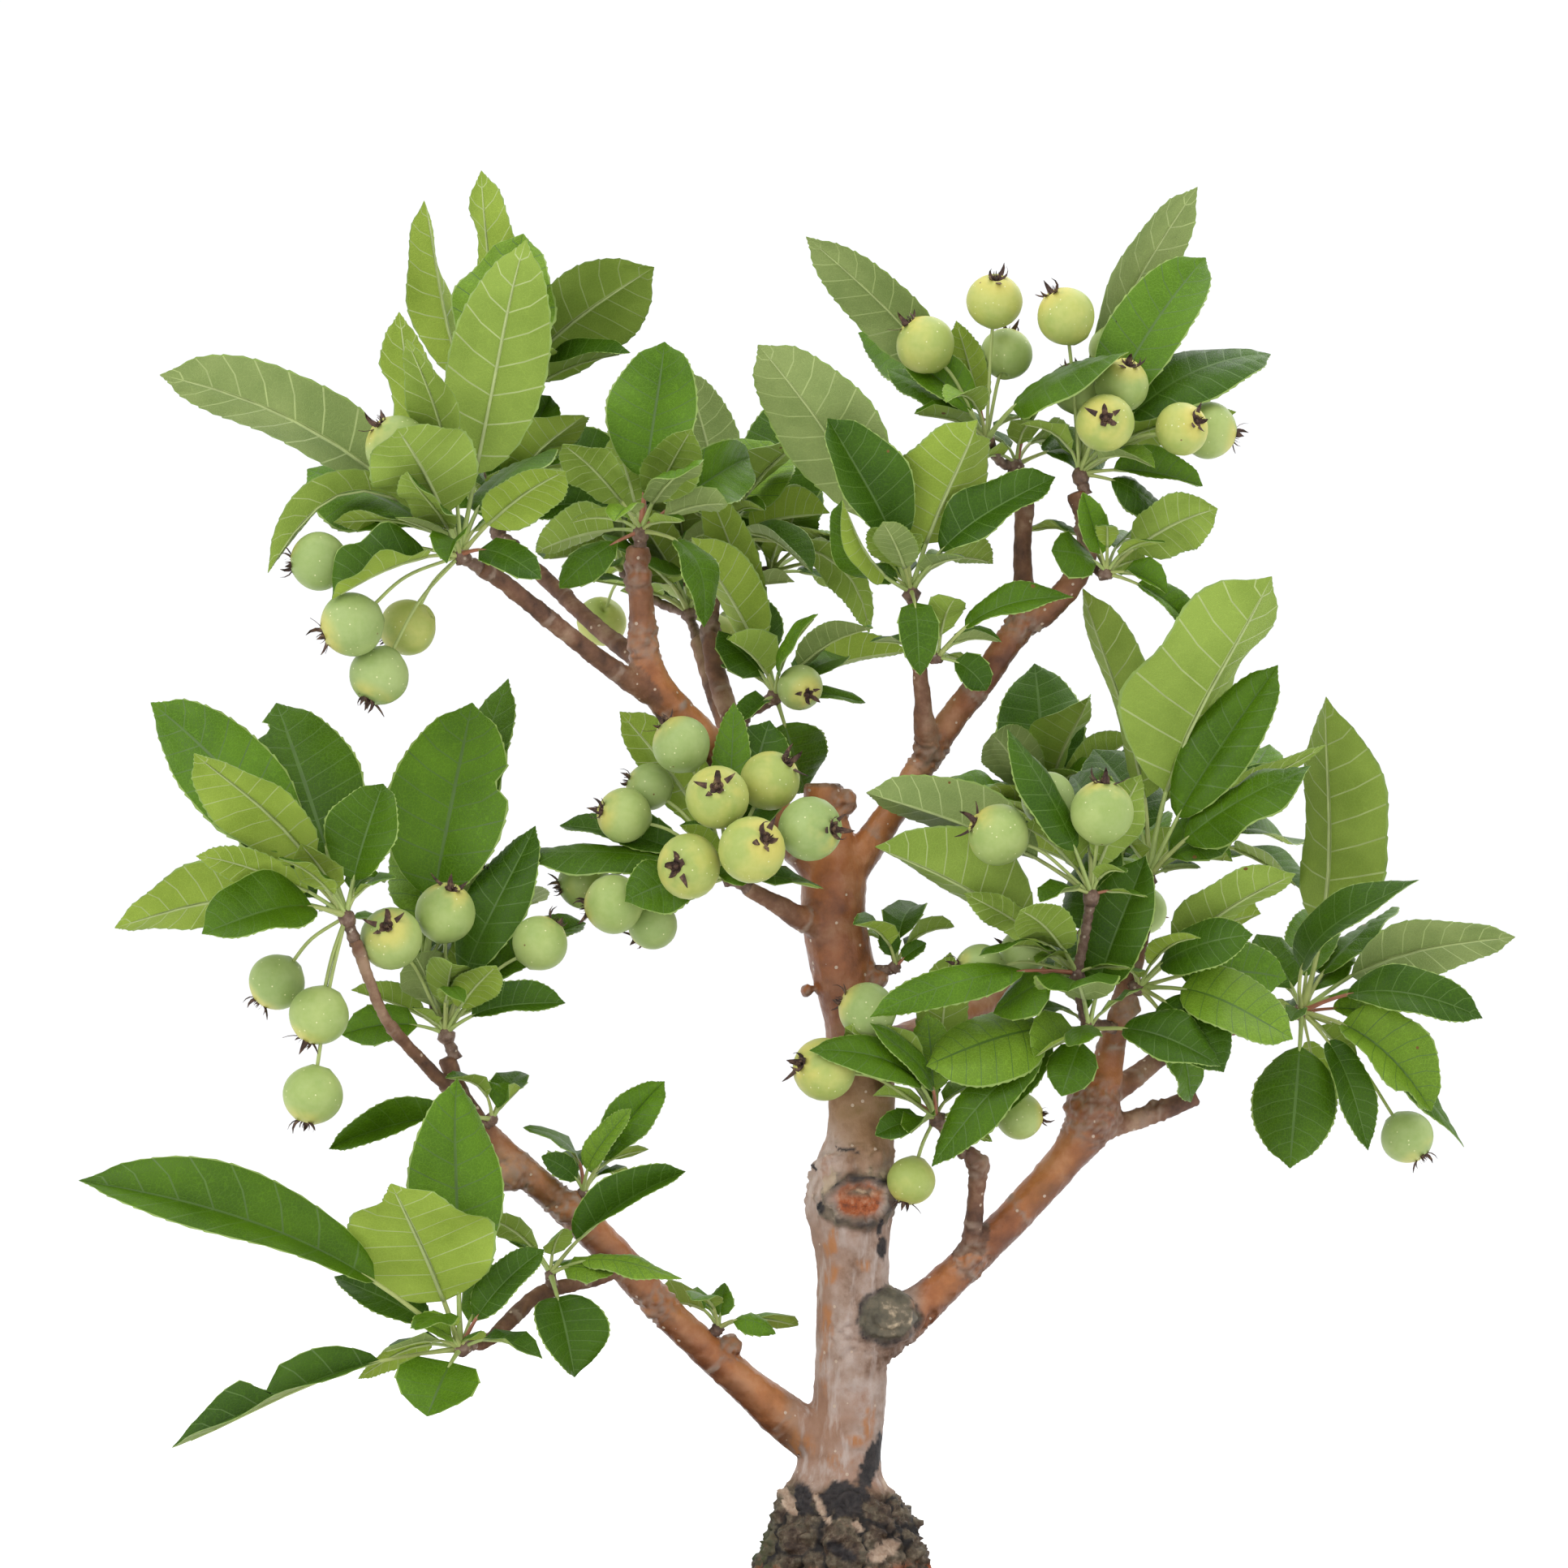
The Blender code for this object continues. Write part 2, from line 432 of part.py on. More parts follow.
def tube(points, sides_step, name):
    """A mesh of a tapering round tube along four-number points, from a bevelled curve with filled caps."""
    curve = bpy.data.curves.new(name, "CURVE")
    curve.dimensions = "3D"
    curve.bevel_depth = MM
    curve.bevel_resolution = sides_step
    curve.use_fill_caps = True
    spline = curve.splines.new("POLY")
    spline.points.add(len(points) - 1)
    for made, point in zip(spline.points, points):
        made.co = (*(point.to_3d() * MM), 1)
        made.radius = point.w
    wire = bpy.data.objects.new(name, curve)
    bpy.context.scene.collection.objects.link(wire)
    mesh = evaluated_mesh(wire)
    bpy.data.objects.remove(wire, do_unlink=True)
    bm = bmesh.new()
    bm.from_mesh(mesh)
    bpy.data.meshes.remove(mesh)
    bmesh.ops.remove_doubles(bm, verts=bm.verts[:], dist=0.000001)
    return as_mesh(bm, name)


def ball(centre, half_sizes, sides, name):
    bm = bmesh.new()
    bmesh.ops.create_uvsphere(bm, u_segments=sides, v_segments=max(4, sides - 3), radius=1)
    for vertex in bm.verts:
        vertex.co = (centre + Vector(half * part for half, part in zip(half_sizes, vertex.co))) * MM
    return as_mesh(bm, name)


def largest_body(bm):
    """Deletes all but the biggest closed shell: scraps, and the skins of sealed hollows."""
    left = set(bm.faces)
    shells = []
    while left:
        found = [left.pop()]
        for face in found:
            near = {other for edge in face.edges for other in edge.link_faces} & left
            left -= near
            found.extend(near)
        shells.append(found)
    size = [sum(face.calc_center_median().dot(face.normal) * face.calc_area() for face in s) for s in shells]
    keep = shells[size.index(max(size))]
    bmesh.ops.delete(bm, geom=list(set(bm.faces) - set(keep)), context="FACES")


def is_closed(mesh):
    counts = {}
    for face in mesh.polygons:
        for key in face.edge_keys:
            counts[key] = counts.get(key, 0) + 1
    return bool(counts) and set(counts.values()) == {2}


def cleaned(mesh, merge):
    bm = bmesh.new()
    bm.from_mesh(mesh)
    bmesh.ops.remove_doubles(bm, verts=bm.verts[:], dist=merge)
    bmesh.ops.dissolve_degenerate(bm, edges=bm.edges[:], dist=merge)
    bmesh.ops.triangulate(bm, faces=bm.faces[:])
    largest_body(bm)
    bm.to_mesh(mesh)
    bm.free()
    return mesh


def joined(meshes, name):
    """One closed mesh from the union of closed ones."""
    parts = collection(name + "_parts")
    base = bpy.data.objects.new(name + "_base", meshes[0])
    bpy.context.scene.collection.objects.link(base)
    for index, mesh in enumerate(meshes[1:]):
        parts.objects.link(bpy.data.objects.new(f"{name}_part_{index}", mesh))
    union = base.modifiers.new("join", "BOOLEAN")
    union.operation = "UNION"
    union.operand_type = "COLLECTION"
    union.collection = parts
    tries = ((solver, merge) for solver in ("EXACT", "MANIFOLD") for merge in MERGES)
    for union.solver, merge in tries:
        whole = cleaned(evaluated_mesh(base), merge)
        if is_closed(whole):
            break
    else:
        raise ValueError(f"the pieces of {name} don't join into one closed mesh")
    for used in [base, *parts.objects]:
        bpy.data.objects.remove(used, do_unlink=True)
    bpy.data.collections.remove(parts)
    return whole


def lightened(mesh, name):
    """The same mesh with the small faces where pieces met thinned out, or as it was where that would open it."""
    draft = bpy.data.objects.new(name + "_draft", mesh)
    bpy.context.scene.collection.objects.link(draft)
    thin = draft.modifiers.new("thin", "DECIMATE")
    thin.ratio = KEPT_FACES
    light = evaluated_mesh(draft)
    bpy.data.objects.remove(draft, do_unlink=True)
    return light if is_closed(light) else mesh


def make_pot(home, cutters, finish):
    lip = POT_LENGTH / 2
    foot = lip - FOOT_INSET
    inner = lip - POT_WALL
    profile = (
        (0, FLOOR_THICK), (foot - POT_WALL - 3, FLOOR_THICK), (foot - POT_WALL + 4, FLOOR_THICK + 6),
        (inner - 1, POT_HEIGHT - 3), (inner + 1, POT_HEIGHT), (lip - 1, POT_HEIGHT), (lip, POT_HEIGHT - 2),
        (lip, POT_HEIGHT - 9), (lip - 4, POT_HEIGHT - 12), (foot + 5, 12), (foot, 7), (foot - 3, 6),
        (foot - 3, 0), (0, 0))
    pot = turned("pot", profile, ROUND_STEPS, POT_WIDTH / POT_LENGTH, home, finish)
    for side in (-1, 1):
        bm = bmesh.new()
        bmesh.ops.create_cone(
            bm, cap_ends=True, segments=16, radius1=DRAIN_RADIUS * MM, radius2=DRAIN_RADIUS * MM,
            depth=3 * FLOOR_THICK * MM)
        cutter = add_object(as_mesh(bm, "drain"), f"drain_cutter_{side + 1}", cutters, finish)
        cutter.location.x = side * DRAIN_APART / 2 * MM
        cutter.hide_render = True
        cutter.display_type = "WIRE"
        hole = pot.modifiers.new("drain", "BOOLEAN")
        hole.object = cutter
        hole.operation = "DIFFERENCE"
    return pot


def dome(out, edge):
    """The height of the soil's even dome at a radius."""
    past = max(0, (out - SOIL_FLAT) / (edge - SOIL_FLAT))
    return SOIL_TOP - (SOIL_TOP - SOIL_AT_WALL) * past ** DOME_CURVE


def mound(x, y, edge):
    """How far the soil's top stands above its even dome: nothing at the trunk's foot and at the wall."""
    y *= POT_LENGTH / POT_WIDTH
    out = math.hypot(x, y)
    ring = (edge - SOIL_FLAT) / SOIL_RINGS
    fade = max(0, min(1, (out - SOIL_FLAT) / ring, (edge - out) / ring))
    around = math.cos(SOIL_STEPS / 2 * math.atan2(y, x))
    return MOUND_RISE * fade * around * math.cos(math.pi * (out - SOIL_FLAT) / ring)


def make_soil(home, finish):
    """A low dome of soil between the trunk's foot and the pot's wall, with mounds in its top."""
    foot = POT_LENGTH / 2 - FOOT_INSET - POT_WALL - SOIL_INSET
    wall = POT_LENGTH / 2 - POT_WALL - 1 - SOIL_INSET
    rise = (SOIL_AT_WALL - FLOOR_THICK - 6) / (POT_HEIGHT - 9 - FLOOR_THICK)
    edge = foot + 4 + (wall - foot - 4) * rise
    rings = [SOIL_FLAT + (edge - SOIL_FLAT) * ring / SOIL_RINGS for ring in range(SOIL_RINGS + 1)]
    profile = [(0, SOIL_TOP)] + [(out, dome(out, edge)) for out in rings]
    profile += [(foot + 4, FLOOR_THICK + 6 + GAP), (foot - 3, FLOOR_THICK + GAP), (0, FLOOR_THICK + GAP)]
    soil = turned("soil", profile, SOIL_STEPS, POT_WIDTH / POT_LENGTH, home, finish)
    for vertex in soil.data.vertices:
        if vertex.co.z > (SOIL_AT_WALL + 1) * MM:
            vertex.co.z += mound(vertex.co.x / MM, vertex.co.y / MM, edge) * MM
    return soil


def trunk_ring(row, across, height, radius):
    """The trunk's outline at a height, lobed over its main roots near the soil, with plates of flaky bark."""
    fade = max(0, 1 - height / ROOT_TOP)
    plate = PLATE_RISE if GAP < height < PLATE_TOP else 0
    ring = []
    for i in range(TRUNK_SIDES):
        angle = 2 * math.pi * i / TRUNK_SIDES
        lobe = 1 + ROOT_SWELL * fade * math.cos(ROOT_LOBES * angle + 0.6)
        reach = radius * lobe + plate * (-1) ** (i + row)
        ring.append(place(across, height, 0) + Vector((math.cos(angle), math.sin(angle), 0)) * reach)
    return ring


def limb_path(name):
    places = LIMBS[name][2]
    points = [Vector((*place(across, height, depth), radius)) for across, height, depth, radius in places]
    return smooth_path(points, LIMB_SPAN)


def cut_path(path, length):
    """A path up to a length along it, and from there plus the gap to its end."""
    run = 0
    for i, (start, end) in enumerate(zip(path, path[1:])):
        step = (end - start).to_3d().length
        if run + step > length + GAP:
            first = start.lerp(end, (length - run) / step)
            second = start.lerp(end, (length + GAP - run) / step)
            return [*path[:i + 1], first], [second, *path[i + 1:]]
        run += step
    raise ValueError("a limb is shorter than its foot")


def make_wood(home, finish):
    """The trunk and the limbs. The foot of each limb is one with what carries it, and its end faces the limb's."""
    feet = {"trunk": [], **{name: [] for name in LIMBS}}
    own = {"trunk": [loft([trunk_ring(row, *sizes) for row, sizes in enumerate(TRUNK)], "trunk")]}
    own["trunk"] += [ball(place(*centre), half, 10, "scar") for centre, half in SCARS]
    for name, (carrier, foot_length, _) in LIMBS.items():
        foot, rest = cut_path(limb_path(name), foot_length)
        sides_step = 2 if name.startswith("bough") else 1
        feet[carrier].append(tube(foot, sides_step, name + "_foot"))
        own[name] = [tube(rest, sides_step, name)]
    trees = {}
    for name, meshes in own.items():
        meshes = meshes + feet[name]
        whole = joined(meshes, name) if len(meshes) > 1 else meshes[0]
        trees[name] = tree_of(whole)
        add_object(whole, name, home, finish)
    return trees


def facing(words):
    return sum((FACING[word] for word in words.split()), Vector((0, 0, 0))).normalized()


def leaf_shape(root, tip, width, looks, arch, grow=0.0):
    """A leaf with its stalk: a bowed loft of three-cornered sections, with the midrib as a keel underneath."""
    chord = tip - root
    length = chord.length
    along = chord.normalized()
    up = (looks - along * looks.dot(along)).normalized()
    side = along.cross(up)
    bend = (root + tip) / 2 + up * 2 * arch * length
    keel = length * LEAF_KEEL + grow

    def section(share, half, depth):
        centre = root * (1 - share) ** 2 + bend * 2 * share * (1 - share) + tip * share ** 2
        ahead = ((bend - root) * (1 - share) + (tip - bend) * share).normalized()
        rise = side.cross(ahead).normalized() * depth / 2
        return [centre + side * half + rise, centre - side * half + rise, centre - rise]

    stalk = PETIOLE_RADIUS + grow
    rings = [section(share, stalk, 2 * stalk) for share in (-SUNK / length, PETIOLE_SHARE)]
    rings += [section(share, width / 2 * part + grow, keel) for share, part in STATIONS]
    return loft(rings, "leaf", tip + along * grow)


def touches(mesh, others):
    tree = tree_of(mesh)
    return any(tree.overlap(other) for other in others)


class Mass:
    """A mass of foliage while it grows: its pieces, and trees for telling what they touch."""

    def __init__(self, name, wood, grown):
        self.rows = MASSES[name]
        self.name = name
        self.random = random.Random(SEED + sum(map(ord, name)))
        self.pieces = []
        self.blades = []
        self.taken = list(wood.values()) + [tree for mass in grown for tree in mass.trees]
        self.trees = []
        self.spurs = [place(*spot) for spot in self.rows["spurs"]]
        self.carrier = wood[self.rows["on"]]

    def keep(self, mesh):
        self.pieces.append(mesh)
        self.trees.append(tree_of(mesh))

    def grow_twigs(self):
        """The stem, from just off the bark to the first spur, and twigs from there to the other spurs."""
        first = self.spurs[0]
        bark, normal, _, _ = self.carrier.find_nearest(first * MM)
        bark = bark / MM
        start = bark + normal * GAP
        out = start + normal * min(6, (first - start).length * STUB_OF_TWIG)
        reach = first + (first - out).normalized() * 0.5
        rings = [Vector((*start, TWIG_RADIUS)), Vector((*out, TWIG_RADIUS)), Vector((*reach, TWIG_RADIUS))]
        self.keep(tube(rings, 0, "stem"))
        for before, spur in zip(self.spurs, self.spurs[1:]):
            middle = (before + spur) / 2 + Vector((0, 2, -3))
            ends = [Vector((*point, TWIG_RADIUS)) for point in (before, middle, spur)]
            self.keep(tube(ends, 0, "twig"))
        for spur in self.spurs:
            size = SPUR_RADIUS if self.rows["more"] or self.rows["fruit"] else SPUR_RADIUS * 0.7
            if (self.carrier.find_nearest(spur * MM)[3] / MM) > size + CLEARANCE:
                self.keep(ball(spur, (size, size, size), 6, "spur"))

    def grow_leaf(self, spur, tip, width, looks, arch):
        """Adds a leaf, with its tip stepped in depth until it touches nothing, or none where there is no room."""
        root = self.spurs[spur]
        for step in DEPTH_STEPS:
            moved = tip + Vector((0, step, 0))
            if not touches(leaf_shape(root, moved, width, looks, arch, CLEARANCE), self.taken):
                leaf = leaf_shape(root, moved, width, looks, arch)
                self.keep(leaf)
                self.blades.append(self.trees[-1])
                return

    def grow_fruit(self, spur, across, height, out, radius):
        """Adds an apple on a stalk that bows up from its spur and enters the apple from the spur's side."""
        root = self.spurs[spur]
        centre = place(across, height, self.rows["spurs"][spur][2] + out)
        way = (centre - root).normalized()
        bow = (root + centre) / 2 + Vector((0, 0, 0.10 * (centre - root).length))
        enter = centre - (centre - bow).normalized() * radius * 0.7
        for size in (radius, radius * 0.85):
            stalk = [Vector((*point, STALK_RADIUS)) for point in (root + way * 0.5, bow, enter)]
            stalk_mesh = tube(stalk, 0, "stalk")
            room = ball(centre, (size + CLEARANCE,) * 3, FRUIT_SIDES, "fruit")
            if not touches(room, self.taken) and not touches(stalk_mesh, self.taken):
                self.keep(stalk_mesh)
                self.keep(ball(centre, (size,) * 3, FRUIT_SIDES, "fruit"))
                self.blades.append(self.trees[-1])
                return

    def box(self):
        """The lowest and highest corners of what the leading leaves and fruit span."""
        if "box" in self.rows:
            low, high = self.rows["box"]
        else:
            spots = [row[1:3] for row in self.rows["leaves"] + self.rows["fruit"]]
            depths = [spur[2] for spur in self.rows["spurs"]]
            low = (min(s[0] for s in spots), min(s[1] for s in spots), min(depths) - 34)
            high = (max(s[0] for s in spots), max(s[1] for s in spots), max(depths) + 40)
        return place(*low), place(*high)

    def grow_more(self):
        """Leaves set round each spur by the golden angle, kept where they stay in the box and touch nothing."""
        low, high = self.box()
        for spur, root in enumerate(self.spurs):
            axis = (root - self.spurs[spur - 1] if spur else Vector((0, 0, 1))).normalized()
            axis = (axis + Vector((0, 0, 1.2))).normalized()
            across = axis.orthogonal().normalized()
            turn = self.random.uniform(0, 2 * math.pi)
            for _ in range(2 * self.rows["more"]):
                turn += GOLDEN_ANGLE
                length = self.random.uniform(*MORE_LENGTH)
                width = length * self.random.uniform(*MORE_WIDTH)
                tilt = self.random.uniform(*MORE_TILT)
                arch = self.random.uniform(0.06, 0.18)
                out = across * math.cos(turn) + axis.cross(across) * math.sin(turn)
                tip = root + (axis * math.cos(tilt) + out * math.sin(tilt)) * length
                inside = all(a < b < c for a, b, c in zip(low, tip, high))
                looks = (axis * 1.2 + Vector((0, 0, 1)) - out * 0.3).normalized()
                swollen = leaf_shape(root + (tip - root) * 0.3, tip, width, looks, arch, CLEARANCE)
                if inside and not touches(swollen, self.blades):
                    self.grow_leaf(spur, tip, width, looks, arch)

    def grow(self):
        self.grow_twigs()
        for row in self.rows["fruit"]:
            self.grow_fruit(*row)
        for spur, across, height, out, width, words, arch in self.rows["leaves"]:
            tip = place(across, height, self.rows["spurs"][spur][2] + out)
            self.grow_leaf(spur, tip, width, facing(words), arch)
        self.grow_more()


def make_foliage(home, finish, wood):
    grown = []
    for name in MASSES:
        mass = Mass(name, wood, grown)
        mass.grow()
        grown.append(mass)
        add_object(lightened(joined(mass.pieces, name), name), name, home, finish)


def main():
    clear_scene()
    home = collection("apple_bonsai")
    cutters = collection("cutters")
    make_pot(home, cutters, material("pot_stoneware", (0.16, 0.115, 0.09), 0.55))
    make_soil(home, material("soil", (0.11, 0.08, 0.055), 0.95))
    wood = make_wood(home, material("bark", (0.30, 0.17, 0.11), 0.75))
    make_foliage(home, material("leaf_green", (0.13, 0.25, 0.04), 0.5), wood)


main()
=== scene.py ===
"""The looks of an apple bonsai in fruit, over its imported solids. Sizes are millimetres until a mesh is made.

The sections follow the tree as it is potted and as it grows: pot, soil, trunk and boughs, spurs and twigs,
leaves, apples, and then the studio. The trunk, the limbs and the masses of foliage grow by the same sizes and
the same seeded rule as the solids, and are carried here to bark, fine leaf blades, stalks and sepals.
"""

import math
import random

import bmesh
import bpy
import numpy as np
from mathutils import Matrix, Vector, noise
from mathutils.bvhtree import BVHTree
from mathutils.kdtree import KDTree


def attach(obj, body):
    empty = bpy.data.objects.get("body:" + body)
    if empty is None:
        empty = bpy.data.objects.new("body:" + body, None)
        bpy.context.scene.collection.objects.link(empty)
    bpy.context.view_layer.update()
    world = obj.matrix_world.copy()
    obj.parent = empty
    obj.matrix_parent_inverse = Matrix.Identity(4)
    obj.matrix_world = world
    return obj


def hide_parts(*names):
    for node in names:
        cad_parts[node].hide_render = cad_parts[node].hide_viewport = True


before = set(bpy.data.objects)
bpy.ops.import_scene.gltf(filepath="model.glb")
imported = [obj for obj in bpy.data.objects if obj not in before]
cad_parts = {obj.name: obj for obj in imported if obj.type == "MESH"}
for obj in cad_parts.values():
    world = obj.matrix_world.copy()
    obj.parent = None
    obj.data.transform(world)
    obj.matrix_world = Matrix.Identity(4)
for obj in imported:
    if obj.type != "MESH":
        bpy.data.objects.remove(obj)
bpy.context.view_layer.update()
MM = 0.001


# The pot. A plain oval of unglazed brown stoneware, pressed in a mould and fired, with a thick rolled lip, a
# foot set in under the wall and two drain holes in its floor. It only stands on what is under it.

POT_LENGTH = 330
POT_WIDTH = 250
POT_HEIGHT = 66
POT_WALL = 8
FLOOR_THICK = 9
FOOT_INSET = 20
DRAIN_RADIUS = 9
DRAIN_APART = 140
CORNER = 2.2
TURN_STEPS = 144
DOTLESS_SHARE = 0.55  # of the cells of a speckled pattern
LOW_DARK_TOP = 14  # height to which the pot's wall is darker towards the bottom
RUBBED_EDGE = 3


def wire(tree, kind, inputs=None, **settings):
    """Adds a node. Each input is a plain value, or the output of another node to link."""
    made = tree.nodes.new(kind)
    for key, value in settings.items():
        setattr(made, key, value)
    for key, value in (inputs or {}).items():
        if isinstance(value, bpy.types.NodeSocket):
            tree.links.new(value, made.inputs[key])
        else:
            made.inputs[key].default_value = value
    return made


def maths(tree, operation, *values):
    return wire(tree, "ShaderNodeMath", dict(enumerate(values)), operation=operation).outputs[0]


def finish(name, roughness, **plain):
    """A new material, its nodes, its shader with the values that are the same all over, and the place."""
    made = bpy.data.materials.new(name)
    made.use_nodes = True
    tree = made.node_tree
    shader = tree.nodes["Principled BSDF"]
    shader.inputs["Roughness"].default_value = roughness
    for key, value in plain.items():
        shader.inputs[key.replace("_", " ")].default_value = value
    return made, tree, shader, tree.nodes.new("ShaderNodeTexCoord").outputs["Object"]


def ramp(tree, fac, *stops):
    made = wire(tree, "ShaderNodeValToRGB", {"Fac": fac})
    elements = made.color_ramp.elements
    while len(elements) < len(stops):
        elements.new(0.5)
    for element, (position, colour) in zip(elements, stops):
        element.position = position
        element.color = (*colour, 1)
    return made.outputs["Color"]


def mix(tree, share, first, second):
    """The first colour with a share of the second laid over it. Each is a colour or a node's output."""
    made = wire(tree, "ShaderNodeMix", data_type="RGBA")
    for key, value in ((0, share), (6, first), (7, second)):
        if isinstance(value, bpy.types.NodeSocket):
            tree.links.new(value, made.inputs[key])
        else:
            made.inputs[key].default_value = (*value, 1) if key else value
    return made.outputs[2]


def layers(tree, colour, *rows):
    """A colour with others laid over it in turn, each with its share, which is a number or a mask."""
    for share, over in rows:
        colour = mix(tree, share, colour, over)
    return colour


def noise_of(tree, vector, scale, detail=4.0, rough=0.5):
    inputs = {"Vector": vector, "Scale": scale, "Detail": detail, "Roughness": rough}
    return wire(tree, "ShaderNodeTexNoise", inputs).outputs["Fac"]


def span_of(tree, value, low, high):
    """0 where a value is at the low end, 1 at the high end, and smooth between."""
    ends = {"Value": value, "From Min": low, "From Max": high}
    return wire(tree, "ShaderNodeMapRange", ends, interpolation_type="SMOOTHSTEP").outputs["Result"]


def between(tree, value, low, high):
    """A value that runs from low to high as a noise runs over its usual span."""
    ends = {"Value": value, "From Min": 0.3, "From Max": 0.7, "To Min": low, "To Max": high}
    return wire(tree, "ShaderNodeMapRange", ends).outputs["Result"]


def dress(shader, colour, relief, strength, distance, rough=None):
    """Links a shader's colour, its relief with its strength and height, and a roughness that varies."""
    tree = shader.id_data
    tree.links.new(colour, shader.inputs["Base Color"])
    if rough is not None:
        tree.links.new(rough, shader.inputs["Roughness"])
    made = wire(tree, "ShaderNodeBump", {"Height": relief, "Strength": strength, "Distance": distance})
    tree.links.new(made.outputs["Normal"], shader.inputs["Normal"])


def speckle_group():
    """Small scattered dots, as of grit in clay, pores in bark or the skin of an apple."""
    group = bpy.data.node_groups.new("speckle", "ShaderNodeTree")
    for socket, kind in (("Vector", "Vector"), ("Scale", "Float"), ("Size", "Float")):
        group.interface.new_socket(socket, in_out="INPUT", socket_type="NodeSocket" + kind)
    group.interface.new_socket("Dots", in_out="OUTPUT", socket_type="NodeSocketFloat")
    start = group.nodes.new("NodeGroupInput").outputs
    cells = wire(group, "ShaderNodeTexVoronoi", {"Vector": start["Vector"], "Scale": start["Scale"]}).outputs
    near = maths(group, "LESS_THAN", cells["Distance"], start["Size"])
    parts = wire(group, "ShaderNodeSeparateColor", {"Color": cells["Color"]})
    some = maths(group, "GREATER_THAN", parts.outputs["Red"], DOTLESS_SHARE)
    wire(group, "NodeGroupOutput", {"Dots": maths(group, "MULTIPLY", near, some)})
    return group


SPECKLE = speckle_group()


def speckle(tree, vector, scale, size):
    inputs = {"Vector": vector, "Scale": scale, "Size": size}
    made = wire(tree, "ShaderNodeGroup", node_tree=SPECKLE)
    for key, value in inputs.items():
        if key == "Vector":
            tree.links.new(value, made.inputs[key])
        else:
            made.inputs[key].default_value = value
    return made.outputs["Dots"]


def linked(name, data):
    """A new object in the scene."""
    made = bpy.data.objects.new(name, data)
    bpy.context.scene.collection.objects.link(made)
    return made


def add_piece(mesh, name, materials):
    """Links a finished mesh as a piece that rides with the tree."""
    mesh.name = name
    for material in materials:
        mesh.materials.append(material)
    made = linked(name, mesh)
    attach(made, "root")
    return made


def made_real(obj):
    """The mesh that an object's modifiers or bevel make of it. The object itself is removed."""
    graph = bpy.context.evaluated_depsgraph_get()
    made = bpy.data.meshes.new_from_object(obj.evaluated_get(graph))
    bpy.data.objects.remove(obj, do_unlink=True)
    return made


def mesh_of(bm, name):
    mesh = bpy.data.meshes.new(name)
    bm.to_mesh(mesh)
    bm.free()
    return mesh


def eased(profile, radius):
    """The same (radius, height) points with each corner between the ends cut to a small arc."""
    points = [Vector(point) for point in profile]
    made = [points[0]]
    for before, corner, after in zip(points, points[1:], points[2:]):
        back = min(radius, (corner - before).length * 0.45)
        ahead = min(radius, (after - corner).length * 0.45)
        first = corner + (before - corner).normalized() * back
        last = corner + (after - corner).normalized() * ahead
        for t in (0, 0.25, 0.5, 0.75, 1):
            made.append(first * (1 - t) ** 2 + corner * 2 * t * (1 - t) + last * t * t)
    return [*made, points[-1]]


def turned(profile, steps, stretch):
    """The mesh of a solid turned from (radius, height) points, squeezed front to back by the stretch."""
    mesh = bpy.data.meshes.new("turning")
    points = [(radius * MM, 0, height * MM) for radius, height in profile]
    mesh.from_pydata(points, [(i, i + 1) for i in range(len(points) - 1)], [])
    blank = linked("turning", mesh)
    screw = blank.modifiers.new("turn", "SCREW")
    screw.steps = screw.render_steps = steps
    screw.use_merge_vertices = True
    screw.merge_threshold = 0.00002
    made = made_real(blank)
    bm = bmesh.new()
    bm.from_mesh(made)
    for vertex in bm.verts:
        vertex.co.y *= stretch
    bmesh.ops.recalc_face_normals(bm, faces=bm.faces[:])
    bm.to_mesh(made)
    bm.free()
    made.shade_smooth()
    return made


def drilled(mesh, places, radius, depth):
    """The mesh with a round hole through it at each (x, z) place."""
    body = linked("blank", mesh)
    drills = []
    for x, z in places:
        bm = bmesh.new()
        bmesh.ops.create_cone(
            bm, cap_ends=True, segments=48, radius1=radius * MM, radius2=radius * MM, depth=depth * MM)
        bmesh.ops.translate(bm, verts=bm.verts[:], vec=(x * MM, 0, z * MM))
        drills.append(linked("drill", mesh_of(bm, "drill")))
        cut = body.modifiers.new("drill", "BOOLEAN")
        cut.object = drills[-1]
    made = made_real(body)
    for drill in drills:
        bpy.data.objects.remove(drill, do_unlink=True)
    return made


def stoneware():
    made, tree, shader, place_of = finish("unglazed_stoneware", 0.62)
    cloud = noise_of(tree, place_of, 14, 6, 0.6)
    grain = noise_of(tree, place_of, 900, 2)
    body = ramp(
        tree, cloud, (0.3, (0.06, 0.036, 0.026)), (0.52, (0.098, 0.058, 0.04)), (0.75, (0.15, 0.095, 0.066)))
    height = wire(tree, "ShaderNodeSeparateXYZ", {"Vector": place_of}).outputs["Z"]
    # The pot's wall darkened towards the bottom.
    darker_low = span_of(tree, height, LOW_DARK_TOP * MM, 0.002)
    edge = span_of(tree, height, (POT_HEIGHT - RUBBED_EDGE) * MM, POT_HEIGHT * MM)
    colour = layers(
        tree, body, (speckle(tree, place_of, 420, 0.22), (0.26, 0.19, 0.13)), (darker_low, (0.045, 0.03, 0.022)),
        (maths(tree, "MULTIPLY", edge, cloud), (0.24, 0.165, 0.12)))
    relief = maths(tree, "ADD", grain, cloud)
    dress(shader, colour, relief, 0.5, 0.0004, between(tree, grain, 0.5, 0.72))
    return made


